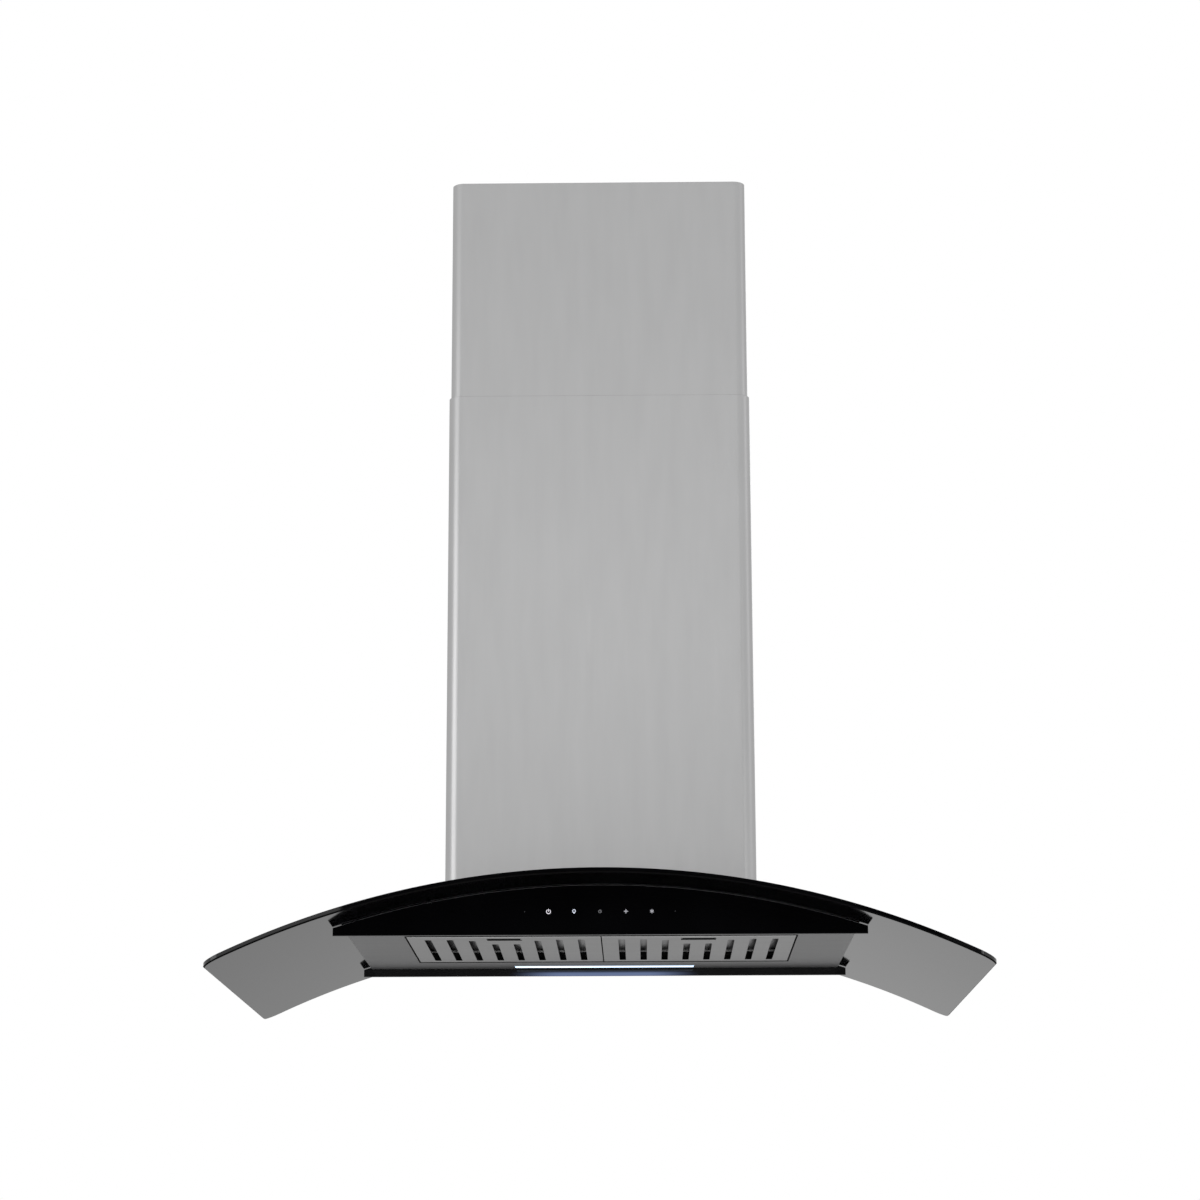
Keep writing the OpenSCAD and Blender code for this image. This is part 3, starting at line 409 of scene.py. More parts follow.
def cut_at(bm, axis, places):
    normal = [0, 0, 0]
    normal[axis] = 1
    for place in places:
        point = [0, 0, 0]
        point[axis] = place
        cut(bm, point, normal)


def sheet(bm, width, depth, height=0.0, corner=0.0, segments=8):
    """A flat rectangle round the middle, with round corners."""
    grid = bmesh.ops.create_grid(bm, x_segments=1, y_segments=1, size=0.5)
    bmesh.ops.scale(bm, vec=(width, depth, 1), verts=grid["verts"])
    bmesh.ops.translate(bm, vec=(0, 0, height), verts=grid["verts"])
    if corner:
        bmesh.ops.bevel(bm, geom=bm.verts[:], offset=corner, segments=segments, profile=0.5,
                        affect="VERTICES", material=-1)


def remove_faces(bm, test):
    bmesh.ops.delete(bm, geom=[f for f in bm.faces if test(f.calc_center_median())], context="FACES")


def extrude_edges(bm, edges, move):
    """Extrudes edges and places each new vertex with move(position)."""
    made = bmesh.ops.extrude_edge_only(bm, edges=edges)["geom"]
    for vert in (g for g in made if isinstance(g, bmesh.types.BMVert)):
        vert.co = Vector(move(vert.co.copy()))
    return [g for g in made if isinstance(g, bmesh.types.BMEdge)]


def thicken(bm, thickness):
    """Gives a sheet its thickness on the side away from its normals."""
    bmesh.ops.solidify(bm, geom=bm.faces[:], thickness=thickness)


def bevel(bm, edges, offset, segments):
    return bmesh.ops.bevel(bm, geom=list(edges), offset=offset, segments=segments, profile=0.5,
                           affect="EDGES", material=-1, clamp_overlap=True)["faces"]


def sharp_edges(bm, test=None):
    """Edges between two faces that meet at a fold or a corner."""
    limit = math.radians(FOLD_ANGLE)
    return [e for e in bm.edges if len(e.link_faces) == 2 and e.calc_face_angle(0.0) > limit
            and (test is None or test(e))]


def piece(name, bm, body, finishes, replaced):
    """Makes the object, rides it on its body and hides the solids that it replaces."""
    mesh = bpy.data.meshes.new(name)
    bm.to_mesh(mesh)
    bm.free()
    mesh.polygons.foreach_set("use_smooth", [True] * len(mesh.polygons))
    mesh.set_sharp_from_angle(angle=math.radians(SHARP_ANGLE))
    for finish in finishes:
        mesh.materials.append(MADE[finish])
    made = bpy.data.objects.new(name, mesh)
    bpy.context.scene.collection.objects.link(made)
    even = made.modifiers.new("even_shading", "WEIGHTED_NORMAL")
    even.keep_sharp = True
    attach(made, body)
    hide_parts(*replaced)


# Chimney covers


def cover_half(sizes, side, low, high, corner, top, bottom):
    """Half of a chimney cover, open at the side seam: side -1 is the front half."""
    bm = bmesh.new()
    width, depth = high.x - low.x, -2 * low.y
    sheet(bm, width, depth, 0.0, corner, 12)
    bmesh.ops.delete(bm, geom=bm.faces[:], context="FACES_ONLY")
    cut(bm, (0, side * sizes.seam / 2, 0), (0, -side, 0), clear_outer=True)
    reach = width / 2 - corner
    cut_at(bm, 0, [reach * step / 16 for step in range(-15, 16)])
    for vert in bm.verts:
        vert.co.z = bottom(vert.co.x)
    extrude_edges(bm, bm.edges[:], lambda co: (co.x, co.y, top))
    bmesh.ops.recalc_face_normals(bm, faces=bm.faces[:])
    middle = Vector((0, side * depth / 4, 0))
    outward = sum((f.normal.dot(Vector(f.calc_center_median().xy.to_3d()) - middle) for f in bm.faces))
    if outward < 0:
        bmesh.ops.reverse_faces(bm, faces=bm.faces[:])
    thicken(bm, sizes.sheet)
    bevel(bm, sharp_edges(bm), SHEARED, 1)
    # Painted shade: the top rim of each cover gets the dark steel, a thin painted shadow line at the seam
    # and under the ceiling
    for face in bm.faces:
        if face.calc_center_median().z > top - SHEARED - CLOSE:
            face.material_index = 1
    return bm


def screw_head(radius, height):
    """A low domed head with a cross recess, standing on z = 0."""
    bm = bmesh.new()
    bmesh.ops.create_circle(bm, cap_ends=True, radius=radius, segments=28)
    top = bmesh.ops.extrude_face_region(bm, geom=bm.faces[:])["geom"]
    bmesh.ops.translate(bm, vec=(0, 0, height), verts=[g for g in top if isinstance(g, bmesh.types.BMVert)])
    bevel(bm, [e for e in bm.edges if all(v.co.z > height / 2 for v in e.verts)], height * 0.75, 3)
    arm, half = radius * 0.45, radius * 0.1
    cut_at(bm, 0, (-arm, -half, half, arm))
    cut_at(bm, 1, (-arm, -half, half, arm))

    def in_cross(co):
        across, up = sorted((abs(co.x), abs(co.y)))
        return co.z > height * 0.9 and across < half and up < arm

    cross = [f for f in bm.faces if in_cross(f.calc_center_median())]
    sunk = bmesh.ops.extrude_face_region(bm, geom=cross)["geom"]
    floor = [g for g in sunk if isinstance(g, bmesh.types.BMVert)]
    bmesh.ops.translate(bm, vec=(0, 0, -height * 0.7), verts=floor)
    bmesh.ops.delete(bm, geom=cross, context="FACES")
    bmesh.ops.recalc_face_normals(bm, faces=bm.faces[:])
    mesh = bpy.data.meshes.new("screw_head")
    bm.to_mesh(mesh)
    bm.free()
    return mesh


def side_screws(name, body, node):
    """Cross-recessed heads in place of the solids' screws along the side seams."""
    radius, height = SCREW_HEAD
    low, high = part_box(node)
    solids = frame["nodes"][node].data
    head = screw_head(radius, height)
    bm = bmesh.new()
    for side in SIDES:
        face = high.x if side > 0 else low.x
        heights = sorted({round(v.co.z, 5) for v in solids.vertices if abs(v.co.x - face) < CLOSE})
        for z in (heights[0] + radius, heights[-1] - radius):
            for y in (-0.005, 0.005):
                before = len(bm.verts)
                bm.from_mesh(head)
                turn = Matrix.Rotation(side * math.pi / 2, 4, "Y")
                twist = Matrix.Rotation(0.3 + 1.7 * y * 100 + z * 9, 4, "Z")
                place = Matrix.Translation((face - side * height, y, z)) @ turn @ twist
                bm.verts.ensure_lookup_table()
                bmesh.ops.transform(bm, matrix=place, verts=bm.verts[before:])
    piece(name, bm, body, ("bright_steel",), (node,))


# Glass


def bend(bm, radius, sizes):
    for vert in bm.verts:
        vert.co.z = arc(vert.co.x, radius, sizes)


def canopy(sizes):
    """The arched pane: cut-out under the chimney, polished edges, small chamfers."""
    bm = bmesh.new()
    width, depth = GLASS_HIGH.x - GLASS_LOW.x, GLASS_HIGH.y - GLASS_LOW.y
    sheet(bm, width, depth, 0.0, sizes.glass_corner, 10)
    half_x, half_y = sizes.glass_opening
    cut_at(bm, 0, (-half_x, half_x))
    cut_at(bm, 1, (-half_y, half_y))
    remove_faces(bm, lambda c: abs(c.x) < half_x and abs(c.y) < half_y)
    steps = 112
    reach = width / 2 - sizes.glass_corner
    cut_at(bm, 0, [reach * (2 * i / steps - 1) for i in range(steps + 1)])
    bend(bm, sizes.arch_radius, sizes)
    thicken(bm, sizes.glass_thick)
    centre = CROWN - sizes.arch_radius
    for face in bm.faces:
        middle = face.calc_center_median()
        radial = Vector((middle.x, 0, middle.z - centre)).normalized()
        face.material_index = 0 if abs(face.normal.dot(radial)) > 0.6 else 1
    middle = sizes.arch_radius - sizes.glass_thick / 2

    def is_upper(edge):
        spot = (edge.verts[0].co + edge.verts[1].co) / 2
        return math.hypot(spot.x, spot.z - centre) > middle

    rim = [e for e in bm.edges if len({f.material_index for f in e.link_faces}) == 2]
    upper, lower = [e for e in rim if is_upper(e)], [e for e in rim if not is_upper(e)]
    for face in bevel(bm, lower, sizes.lower_chamfer, 1):
        face.material_index = 2
    for face in bevel(bm, [e for e in upper if e.is_valid], sizes.upper_arris, 1):
        face.material_index = 2 if abs(face.calc_center_median().x) < GLASS_HIGH.x / 2 else 1
    return bm


def glass_panel(sizes, side):
    """Upright panel with an arched top, in front of or behind the body."""
    bm = bmesh.new()
    low, high = PANEL_LOW, PANEL_HIGH
    sheet(bm, high.x - low.x, 1.0)
    steps = 64
    cut_at(bm, 0, [high.x * (2 * i / steps - 1) for i in range(1, steps)])
    near, far = sorted((-low.y, -high.y))
    for vert in bm.verts:
        top = arc(vert.co.x, sizes.panel_radius, sizes)
        vert.co = (vert.co.x, side * far, top if vert.co.y > 0 else low.z)
    bmesh.ops.recalc_face_normals(bm, faces=bm.faces[:])
    if sum(f.normal.y for f in bm.faces) * side < 0:
        bmesh.ops.reverse_faces(bm, faces=bm.faces[:])
    thicken(bm, far - near)
    for face in bm.faces:
        face.material_index = 0 if abs(face.normal.y) > 0.5 else 1
    rim = [e for e in bm.edges if len({f.material_index for f in e.link_faces}) == 2]
    for face in bevel(bm, rim, 0.0005, 1):
        face.material_index = 2
    for face in bm.faces:
        on_top = face.material_index == 2 and face.normal.z > 0.5
        face.material_index = 1 if on_top else 0
    return bm


# Body


def body_tray(sizes):
    """Folded sheet box under the glass: underside with its openings, walls and rim."""
    bm = bmesh.new()
    half_w, half_d = BODY_HIGH.x, BODY_HIGH.y
    sheet(bm, 2 * half_w, 2 * half_d, UNDERSIDE)
    open_x, open_front, open_rear = sizes.filter_open
    lens_x, half_lens = LENS_HALF[0] + LENS_GAP, LENS_HALF[1] + LENS_GAP
    lens_front, lens_rear = LENS_Y - half_lens, LENS_Y + half_lens
    cut_at(bm, 0, (-open_x, -lens_x, lens_x, open_x))
    steps = 48
    cut_at(bm, 0, [half_w * (2 * i / steps - 1) for i in range(1, steps)])
    cut_at(bm, 1, (open_front, open_rear, lens_front, lens_rear))

    def is_open(c):
        filters = abs(c.x) < open_x and open_front < c.y < open_rear
        lens = abs(c.x) < lens_x and lens_front < c.y < lens_rear
        return filters or lens

    remove_faces(bm, is_open)
    bmesh.ops.reverse_faces(bm, faces=[f for f in bm.faces if f.normal.z > 0])

    def at_edge(e):
        return len(e.link_faces) == 1 and (
            all(abs(abs(v.co.x) - half_w) < NEAR for v in e.verts)
            or all(abs(abs(v.co.y) - half_d) < NEAR for v in e.verts))

    outer = [e for e in bm.edges if at_edge(e)]
    sides = [e for e in bm.edges if len(e.link_faces) == 1
             and all(abs(abs(v.co.x) - open_x) < NEAR for v in e.verts)]
    extrude_edges(bm, sides, lambda co: (co.x, co.y, UNDERSIDE + 0.007))
    top = extrude_edges(bm, outer, lambda co: (co.x, co.y, arc(co.x, sizes.seat_radius, sizes)))

    def inward(co):
        x = co.x if abs(co.x) < half_w - NEAR else co.x - math.copysign(sizes.body_rim, co.x)
        x = max(-half_w + sizes.body_rim, min(half_w - sizes.body_rim, x))
        y = co.y
        if abs(y) > half_d - sizes.body_rim:
            y = math.copysign(half_d - sizes.body_rim, y)
        return x, y, arc(x, sizes.seat_radius, sizes)

    extrude_edges(bm, top, inward)
    bmesh.ops.recalc_face_normals(bm, faces=bm.faces[:])
    flat = [f for f in bm.faces if abs(f.calc_center_median().z - UNDERSIDE) < CLOSE]
    if sum(f.normal.z * f.calc_area() for f in flat) > 0:
        bmesh.ops.reverse_faces(bm, faces=bm.faces[:])
    thicken(bm, sizes.body_sheet)
    folds = sharp_edges(bm, lambda e: all(abs(v.co.z - UNDERSIDE) < NEAR for v in e.verts)
                        and (all(abs(abs(v.co.x) - half_w) < NEAR for v in e.verts)
                             or all(abs(abs(v.co.y) - half_d) < NEAR for v in e.verts)))
    bevel(bm, folds, 0.0014, 4)
    # Painted shade: the rear edge of the filter opening gets the dark steel, for the dark line behind the
    # filters
    for face in bm.faces:
        spot = face.calc_center_median()
        if abs(spot.y - open_rear) < CLOSE and abs(spot.x) < open_x:
            face.material_index = 1
    return bm


# Filters


def slot_front(sizes, index):
    """Front end of a slot: the middle ones stop behind the finger opening."""
    front = FILTER_LOW.y
    pull_end = front + sizes.pull_margin + sizes.pull_depth
    from_middle = abs(index - (sizes.slot_count - 1) / 2)
    if from_middle < 1:
        return pull_end + 0.033
    return pull_end if from_middle < 2 else front + 0.026


def filter_tray(sizes, side):
    """Slotted face and upright walls of one filter."""
    bm = bmesh.new()
    half_w = (FILTER_HIGH.x - FILTER_LOW.x) / 2
    middle = side * (FILTER_HIGH.x + FILTER_LOW.x) / 2
    front, rear = FILTER_LOW.y, sizes.filter_open[2] - sizes.hinge_gap
    pull_front = front + sizes.pull_margin
    grid = bmesh.ops.create_grid(bm, x_segments=1, y_segments=1, size=0.5)
    bmesh.ops.scale(bm, vec=(2 * half_w, rear - front, 1), verts=grid["verts"])
    bmesh.ops.translate(bm, vec=(0, (rear + front) / 2, UNDERSIDE), verts=grid["verts"])
    half_pull = sizes.pull_width / 2
    holes = [((-half_pull, pull_front), (half_pull, pull_front + sizes.pull_depth))]
    for i in range(sizes.slot_count):
        x = (i - (sizes.slot_count - 1) / 2) * sizes.slot_pitch
        left, right = x - sizes.slot_width / 2, x + sizes.slot_width / 2
        holes.append(((left, slot_front(sizes, i)), (right, sizes.slot_end)))
    cut_at(bm, 0, sorted({round(x, 7) for hole in holes for x in (hole[0][0], hole[1][0])}))
    cut_at(bm, 1, sorted({round(y, 7) for hole in holes for y in (hole[0][1], hole[1][1])}))
    remove_faces(bm, lambda c: any(a[0] < c.x < b[0] and a[1] < c.y < b[1] for a, b in holes))
    bmesh.ops.reverse_faces(bm, faces=[f for f in bm.faces if f.normal.z > 0])
    outer = [e for e in bm.edges if len(e.link_faces) == 1 and (
        all(abs(abs(v.co.x) - half_w) < NEAR for v in e.verts)
        or all(v.co.y < front + NEAR for v in e.verts) or all(v.co.y > rear - NEAR for v in e.verts))]
    extrude_edges(bm, outer, lambda co: (co.x, co.y, FILTER_HIGH.z))
    bmesh.ops.recalc_face_normals(bm, faces=bm.faces[:])
    if sum(f.normal.z for f in bm.faces) > 0:
        bmesh.ops.reverse_faces(bm, faces=bm.faces[:])
    thicken(bm, sizes.face_sheet)
    corners = sharp_edges(bm, lambda e: 0.0009 < abs(e.verts[0].co.z - e.verts[1].co.z) < 0.0011
                          and abs(e.verts[0].co.x) < half_w - 0.003)
    bevel(bm, corners, 0.0024, 4)
    folds = sharp_edges(bm, lambda e: all(v.co.z < UNDERSIDE + NEAR for v in e.verts)
                        and (all(abs(abs(v.co.x) - half_w) < NEAR for v in e.verts)
                             or all(v.co.y < front + NEAR for v in e.verts)
                             or all(v.co.y > rear - NEAR for v in e.verts)))
    bright = bevel(bm, folds, FILTER_FOLD, 1)
    rims = sharp_edges(bm, lambda e: all(v.co.z < UNDERSIDE + NEAR for v in e.verts))
    bevel(bm, rims, FILTER_RIM, 1)
    # Painted shade: the outer walls get black foam for the dark gap round the filters, and the tray's inner
    # faces and slot edges get the dark steel
    for face in bm.faces:
        c = face.calc_center_median()
        outside = c.y < front + CLOSE or c.y > rear - CLOSE or side * c.x < CLOSE - half_w
        if c.z > UNDERSIDE + FILTER_FOLD - CLOSE and outside:
            face.material_index = 2
        elif c.z > UNDERSIDE + 0.0003 and abs(c.x) < half_w - CLOSE:
            face.material_index = 1
    # Painted highlight on the front and rear folds, for their thin light line; the side folds get painted
    # shade
    for face in bright:
        if face.is_valid:
            face.material_index = 3 if abs(face.normal.x) < 0.3 else 1
    for tab in SIDES:
        hinge_tab(bm, tab * half_w * 0.64, rear, sizes)
    inner = rear - sizes.face_sheet
    # Painted highlight: the inner lip gets the light copy of the steel
    rail(bm, (RAIL_END - half_w, inner - RAIL_DEEP, UNDERSIDE + RAIL_LOW),
         (half_w - RAIL_END, inner, FILTER_HIGH.z - 0.0001), 3)
    bmesh.ops.translate(bm, vec=(middle, 0, 0), verts=bm.verts[:])
    return bm


def rail(bm, low, high, material):
    """A straight strip with its edges broken, added to a piece."""
    low, high = Vector(low), Vector(high)
    made = bmesh.ops.create_cube(bm, size=1.0)["verts"]
    bmesh.ops.scale(bm, vec=high - low, verts=made)
    bmesh.ops.translate(bm, vec=(low + high) / 2, verts=made)
    corners = set(made)
    for face in bm.faces:
        if corners.issuperset(face.verts):
            face.material_index = material
    bevel(bm, [e for e in bm.edges if corners.issuperset(e.verts)], 0.0001, 1)


def hinge_tab(bm, x, rear, sizes):
    """Flat tab that hooks over the rear edge of the opening."""
    first = len(bm.verts)
    level = UNDERSIDE + sizes.body_sheet + 0.0004
    grid = bmesh.ops.create_grid(bm, x_segments=1, y_segments=1, size=0.5)
    long = sizes.hinge_gap + 0.0052
    bmesh.ops.scale(bm, vec=(0.020, long, 1), verts=grid["verts"])
    bmesh.ops.translate(bm, vec=(x, rear - 0.0002 + long / 2, level), verts=grid["verts"])
    far = [v for v in grid["verts"] if v.co.y > rear + 0.002]
    bmesh.ops.bevel(bm, geom=far, offset=0.003, segments=4, profile=0.5, affect="VERTICES", material=-1)
    faces = [f for f in bm.faces if all(v.index >= first or v.index == -1 for v in f.verts)
             and abs(f.calc_center_median().z - level) < 1e-7 and f.calc_center_median().y > rear]
    up = bmesh.ops.extrude_face_region(bm, geom=faces)["geom"]
    bmesh.ops.translate(bm, vec=(0, 0, 0.001), verts=[g for g in up if isinstance(g, bmesh.types.BMVert)])
    bmesh.ops.reverse_faces(bm, faces=[f for f in faces if f.normal.z > 0])


def lens_strip():
    """Frosted window of the lamp, with its flange behind the sheet."""
    bm = bmesh.new()
    (half_x, half_y), mid_y = LENS_HALF, LENS_Y
    grid = bmesh.ops.create_grid(bm, x_segments=24, y_segments=4, size=0.5)
    bmesh.ops.scale(bm, vec=(2 * half_x, 2 * half_y, 1), verts=grid["verts"])
    bmesh.ops.translate(bm, vec=(0, mid_y, UNDERSIDE + 0.00005), verts=grid["verts"])
    bmesh.ops.reverse_faces(bm, faces=[f for f in bm.faces if f.normal.z > 0])
    rim = [e for e in bm.edges if len(e.link_faces) == 1]
    up = extrude_edges(bm, rim, lambda co: (co.x, co.y, UNDERSIDE + 0.0013))

    def flange(co):
        return (co.x + math.copysign(0.0018, co.x) * (abs(co.x) > half_x - NEAR),
                co.y + math.copysign(0.0018, co.y - mid_y) * (abs(co.y - mid_y) > half_y - NEAR), co.z)

    extrude_edges(bm, up, flange)
    bmesh.ops.recalc_face_normals(bm, faces=bm.faces[:])
    if sum(f.normal.z for f in bm.faces) > 0:
        bmesh.ops.reverse_faces(bm, faces=bm.faces[:])
    thicken(bm, 0.001)
    bevel(bm, sharp_edges(bm, lambda e: all(v.co.z < UNDERSIDE + 0.0002 for v in e.verts)), 0.0004, 3)
    return bm


# Operators


class HOOD_OT_finishes(bpy.types.Operator):
    """Makes every finish and gives each solid that stays its own"""

    bl_idname = "hood.finishes"
    bl_label = "Finishes"

    def execute(self, context):
        make_finishes(context.scene.hood_finishes)
        slots = {row["node"]: row["material_slot"] for row in frame["record"]["subparts"]}
        special = {"baffle": "painted_shade_inner_sheet", "latch": "latch_black"}
        for node, solid in frame["nodes"].items():
            solid.data.materials.clear()
            finish = special.get(node.split("_")[0], slots[node])
            solid.data.materials.append(MADE[finish])
        return {"FINISHED"}


class HOOD_OT_covers(bpy.types.Operator):
    """Upper and lower chimney covers, each in a front and a rear half"""

    bl_idname = "hood.covers"
    bl_label = "Chimney covers"

    def execute(self, context):
        sizes = context.scene.hood_sizes
        for side, word in ((-1, "front"), (1, "rear")):
            upper = cover_half(sizes, side, UPPER_LOW, UPPER_HIGH, sizes.upper_corner, UPPER_HIGH.z,
                               lambda x: UPPER_LOW.z)
            piece(f"upper_chimney_{word}", upper, "ceiling_mount", ("satin_steel", "painted_shade_steel"),
                  (f"upper_cover_{word}",))
            lower = cover_half(sizes, side, LOWER_LOW, LOWER_HIGH, sizes.lower_corner, LOWER_HIGH.z,
                               lambda x: arc(x, sizes.cover_radius, sizes))
            piece(f"lower_chimney_{word}", lower, "lower_cover", ("satin_steel", "painted_shade_steel"),
                  (f"lower_cover_{word}",))
        return {"FINISHED"}


class HOOD_OT_screws(bpy.types.Operator):
    """Cross-recessed screws along the side seams"""

    bl_idname = "hood.screws"
    bl_label = "Side screws"

    def execute(self, context):
        side_screws("upper_screw_heads", "ceiling_mount", "upper_cover_screws")
        side_screws("lower_screw_heads", "lower_cover", "lower_cover_screws")
        return {"FINISHED"}


class HOOD_OT_glass(bpy.types.Operator):
    """Arched canopy and the two upright panels"""

    bl_idname = "hood.glass"
    bl_label = "Glass"

    def execute(self, context):
        sizes = context.scene.hood_sizes
        piece("canopy_pane", canopy(sizes), "hood", ("black_glass", "polished_edge", "dull_chamfer"),
              ("canopy_glass",))
        piece("touch_panel", glass_panel(sizes, -1), "hood", ("touch_glass", "ground_arris"),
              ("front_panel",))
        piece("back_panel", glass_panel(sizes, 1), "hood", ("back_glass", "ground_arris"),
              ("rear_panel",))
        return {"FINISHED"}


class HOOD_OT_body(bpy.types.Operator):
    """Folded body with its openings, and the lamp's window"""

    bl_idname = "hood.body"
    bl_label = "Body and lamp"

    def execute(self, context):
        piece("body_tray", body_tray(context.scene.hood_sizes), "hood",
              ("body_steel", "painted_shade_steel"), ("body_shell",))
        piece("lamp_window", lens_strip(), "hood", ("lens_white",), ("lamp_lens",))
        return {"FINISHED"}


class HOOD_OT_filters(bpy.types.Operator):
    """Slotted faces of the two filters"""

    bl_idname = "hood.filters"
    bl_label = "Filters"

    def execute(self, context):
        sizes = context.scene.hood_sizes
        for side, word in ((-1, "left"), (1, "right")):
            piece(f"slotted_filter_{word}", filter_tray(sizes, side), f"filter_door_{word}",
                  ("filter_steel", "painted_shade_steel", "black_foam", "painted_highlight_steel"), (f"filter_{word}",))
        return {"FINISHED"}


LAMPS = (
    # name, azimuth from the front to the right in degrees, distance, height, width, tall, power
    ("left_softbox", -46, 3.5, -0.1, 2.3, 1.3, 15.0),
    ("front_fill", 0, 6.0, 0.60, 1.9, 0.7, 6.0),
    ("right_strip", 27, 4.5, -0.45, 0.25, 0.8, 1.8),
    ("right_fill", 80, 4.2, 0.6, 1.4, 1.4, 3.0),
    ("right_low", 173, 6.0, -1.9, 1.5, 0.9, 0.9),
    ("rear_softbox", 160, 4.4, 0.9, 1.8, 1.4, 10.0),
)


FLOOR_LEVEL, FLOOR_RADIUS = -3.0, 40.0
CARDS_AWAY = 6.0
CARDS = (
    # lower and upper edge, left and right edge, 1 for grey cloth
    (-0.32, 0.09, -0.86, 0.95, 0),
    (-2.0, -1.5, -0.9, 1.05, 0),
    (-0.45, 0.2, 0.95, 1.7, 1),
)


class HOOD_OT_stage(bpy.types.Operator):
    """Floor, soft studio light and the camera"""

    bl_idname = "hood.stage"
    bl_label = "Stage and camera"

    def execute(self, context):
        make_floor(context.scene.hood_finishes)
        make_world()
        for name, azimuth, distance, height, wide, tall, power in LAMPS:
            turn = math.radians(azimuth)
            place = Vector((math.sin(turn) * distance, -math.cos(turn) * distance, height))
            softbox(name, place, Vector((0, 0, -0.55)), wide, tall, power)
        softbox("top_softbox", Vector((0.6, -0.9, 2.4)), Vector((0, 0, -0.6)), 2.2, 2.2, 22.0)
        black_card()
        make_camera()
        context.scene.view_settings.view_transform = "Standard"
        return {"FINISHED"}


def seen_rays(nodes, links):
    """One for rays that show the surroundings: straight to the camera, mirrored or seen through."""
    path = nodes.new("ShaderNodeLightPath")
    seen = path.outputs["Is Camera Ray"]
    for ray in ("Is Glossy Ray", "Is Transmission Ray"):
        either = nodes.new("ShaderNodeMath")
        either.operation = "MAXIMUM"
        links.new(seen, either.inputs[0])
        links.new(path.outputs[ray], either.inputs[1])
        seen = either.outputs[0]
    return seen


def make_floor(look):
    bm = bmesh.new()
    bmesh.ops.create_circle(bm, cap_ends=True, radius=FLOOR_RADIUS, segments=96)
    bmesh.ops.translate(bm, vec=(0, 0, FLOOR_LEVEL), verts=bm.verts[:])
    mesh = bpy.data.meshes.new("floor")
    bm.to_mesh(mesh)
    bm.free()
    floor = bpy.data.objects.new("floor", mesh)
    bpy.context.scene.collection.objects.link(floor)
    painted = Finish("floor_paint", Roughness=0.9, Specular_IOR_Level=0.0)
    painted.tint(painted.noise(0.6, detail=2.0), shade(look.floor, 0.985), shade(look.floor, 1.015))
    painted.set("Emission Color", (1.0, 1.0, 1.0))
    lift = painted.node("ShaderNodeMath", operation="MULTIPLY")
    lift.inputs[1].default_value = 0.28
    painted.links.new(seen_rays(painted.nodes, painted.links), lift.inputs[0])
    painted.links.new(lift.outputs[0], painted.shader.inputs["Emission Strength"])
    mesh.materials.append(painted.material)


def make_world():
    """White for what the camera sees and what metal and glass reflect, a little less for lighting."""
    world = bpy.data.worlds.new("studio")
    bpy.context.scene.world = world
    world.use_nodes = True
    nodes, links = world.node_tree.nodes, world.node_tree.links
    nodes.clear()
    mix = nodes.new("ShaderNodeMixShader")
    links.new(seen_rays(nodes, links), mix.inputs["Fac"])
    for slot, strength in ((1, 0.76), (2, 1.0)):
        background = nodes.new("ShaderNodeBackground")
        background.inputs["Color"].default_value = (1, 1, 1, 1)
        background.inputs["Strength"].default_value = strength
        links.new(background.outputs["Background"], mix.inputs[slot])
    out = nodes.new("ShaderNodeOutputWorld")
    links.new(mix.outputs["Shader"], out.inputs["Surface"])


def aim(place, target):
    return (target - place).to_track_quat("-Z", "Y").to_euler()


def softbox(name, place, target, wide, tall, power):
    light = bpy.data.lights.new(name, "AREA")
    light.shape, light.size, light.size_y, light.energy = "RECTANGLE", wide, tall, power
    made = bpy.data.objects.new(name, light)
    made.location, made.rotation_euler = place, aim(place, target)
    bpy.context.scene.collection.objects.link(made)


def black_card():
    """Two black cards and a grey one, mirrored by the touch panel and by the edges of the glass."""
    bm = bmesh.new()
    for low, high, left, right, grey in CARDS:
        card = bmesh.ops.create_grid(bm, x_segments=1, y_segments=1, size=0.5)["verts"]
        for face in {f for vert in card for f in vert.link_faces}:
            face.material_index = grey
        bmesh.ops.scale(bm, vec=(right - left, high - low, 1), verts=card)
        bmesh.ops.translate(bm, vec=((left + right) / 2, (low + high) / 2, 0), verts=card)
    bmesh.ops.rotate(bm, cent=(0, 0, 0), matrix=Matrix.Rotation(math.pi / 2, 3, "X"), verts=bm.verts[:])
    bmesh.ops.translate(bm, vec=(0, -CARDS_AWAY, 0), verts=bm.verts[:])
    mesh = bpy.data.meshes.new("black_card")
    bm.to_mesh(mesh)
    bm.free()
    card = bpy.data.objects.new("black_card", mesh)
    bpy.context.scene.collection.objects.link(card)
    cloth = Finish("card_cloth", Roughness=0.9, Specular_IOR_Level=0.0)
    cloth.tint(cloth.noise(40.0), (0.002, 0.002, 0.002), (0.004, 0.004, 0.004))
    mesh.materials.append(cloth.material)
    grey_cloth = Finish("grey_cloth", Roughness=0.9, Specular_IOR_Level=0.0)
    grey_cloth.tint(grey_cloth.noise(40.0), (0.14, 0.14, 0.14), (0.16, 0.16, 0.16))
    mesh.materials.append(grey_cloth.material)
    card.visible_camera = card.visible_diffuse = card.visible_shadow = False


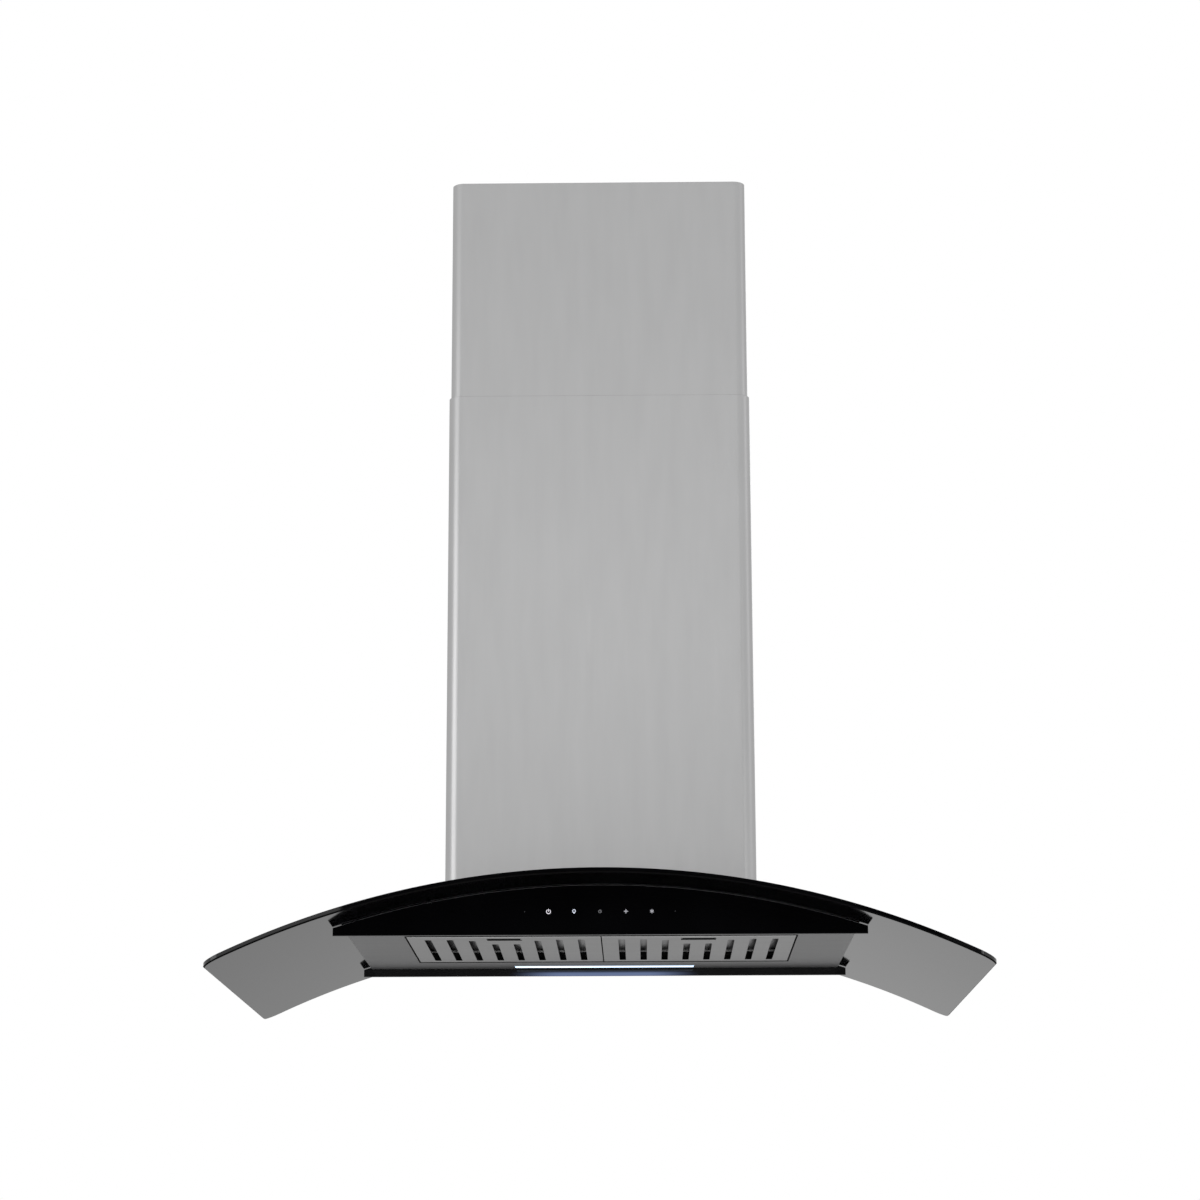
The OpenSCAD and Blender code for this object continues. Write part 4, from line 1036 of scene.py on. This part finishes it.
def make_camera():
    """The photograph's camera, looking up a little from below the hood."""
    place = Vector((0.049188, -3.74298, -1.413585))
    data = bpy.data.cameras.new("camera")
    data.sensor_width, data.lens, data.clip_end = 36.0, 91.62, 200.0
    camera = bpy.data.objects.new("camera", data)
    yaw, pitch, roll = -0.0136, 0.2387, -0.003
    forward = Vector((math.sin(yaw) * math.cos(pitch), math.cos(yaw) * math.cos(pitch), math.sin(pitch)))
    level = Vector((math.cos(yaw), -math.sin(yaw), 0))
    upright = level.cross(forward)
    right = level * math.cos(roll) + upright * math.sin(roll)
    up = upright * math.cos(roll) - level * math.sin(roll)
    turn = Matrix((right, up, -forward)).transposed().to_4x4()
    camera.matrix_world = Matrix.Translation(place) @ turn
    bpy.context.scene.collection.objects.link(camera)
    bpy.context.scene.camera = camera


STEPS = (HOOD_OT_finishes, HOOD_OT_stage, HOOD_OT_covers, HOOD_OT_screws, HOOD_OT_glass, HOOD_OT_body,
         HOOD_OT_filters)


class HOOD_PT_sidebar(bpy.types.Panel):
    """Sizes, colours and pieces of the hood"""

    bl_idname = "HOOD_PT_sidebar"
    bl_label = "Island hood"
    bl_space_type = "VIEW_3D"
    bl_region_type = "UI"
    bl_category = "Hood"

    def draw(self, context):
        for group in (context.scene.hood_sizes, context.scene.hood_finishes):
            box = self.layout.box()
            for name in group.bl_rna.properties.keys():
                if name not in ("rna_type", "name"):
                    box.prop(group, name)
        for step in STEPS:
            self.layout.operator(step.bl_idname)


CLASSES = (HoodSizes, HoodFinishes, *STEPS, HOOD_PT_sidebar)


def register():
    for item in CLASSES:
        bpy.utils.register_class(item)
    bpy.types.Scene.hood_sizes = PointerProperty(type=HoodSizes)
    bpy.types.Scene.hood_finishes = PointerProperty(type=HoodFinishes)


def unregister():
    del bpy.types.Scene.hood_finishes
    del bpy.types.Scene.hood_sizes
    for item in reversed(CLASSES):
        bpy.utils.unregister_class(item)


def main():
    register()
    for step in STEPS:
        group, name = step.bl_idname.split(".")
        getattr(getattr(bpy.ops, group), name)()


if __name__ == "__main__":
    main()
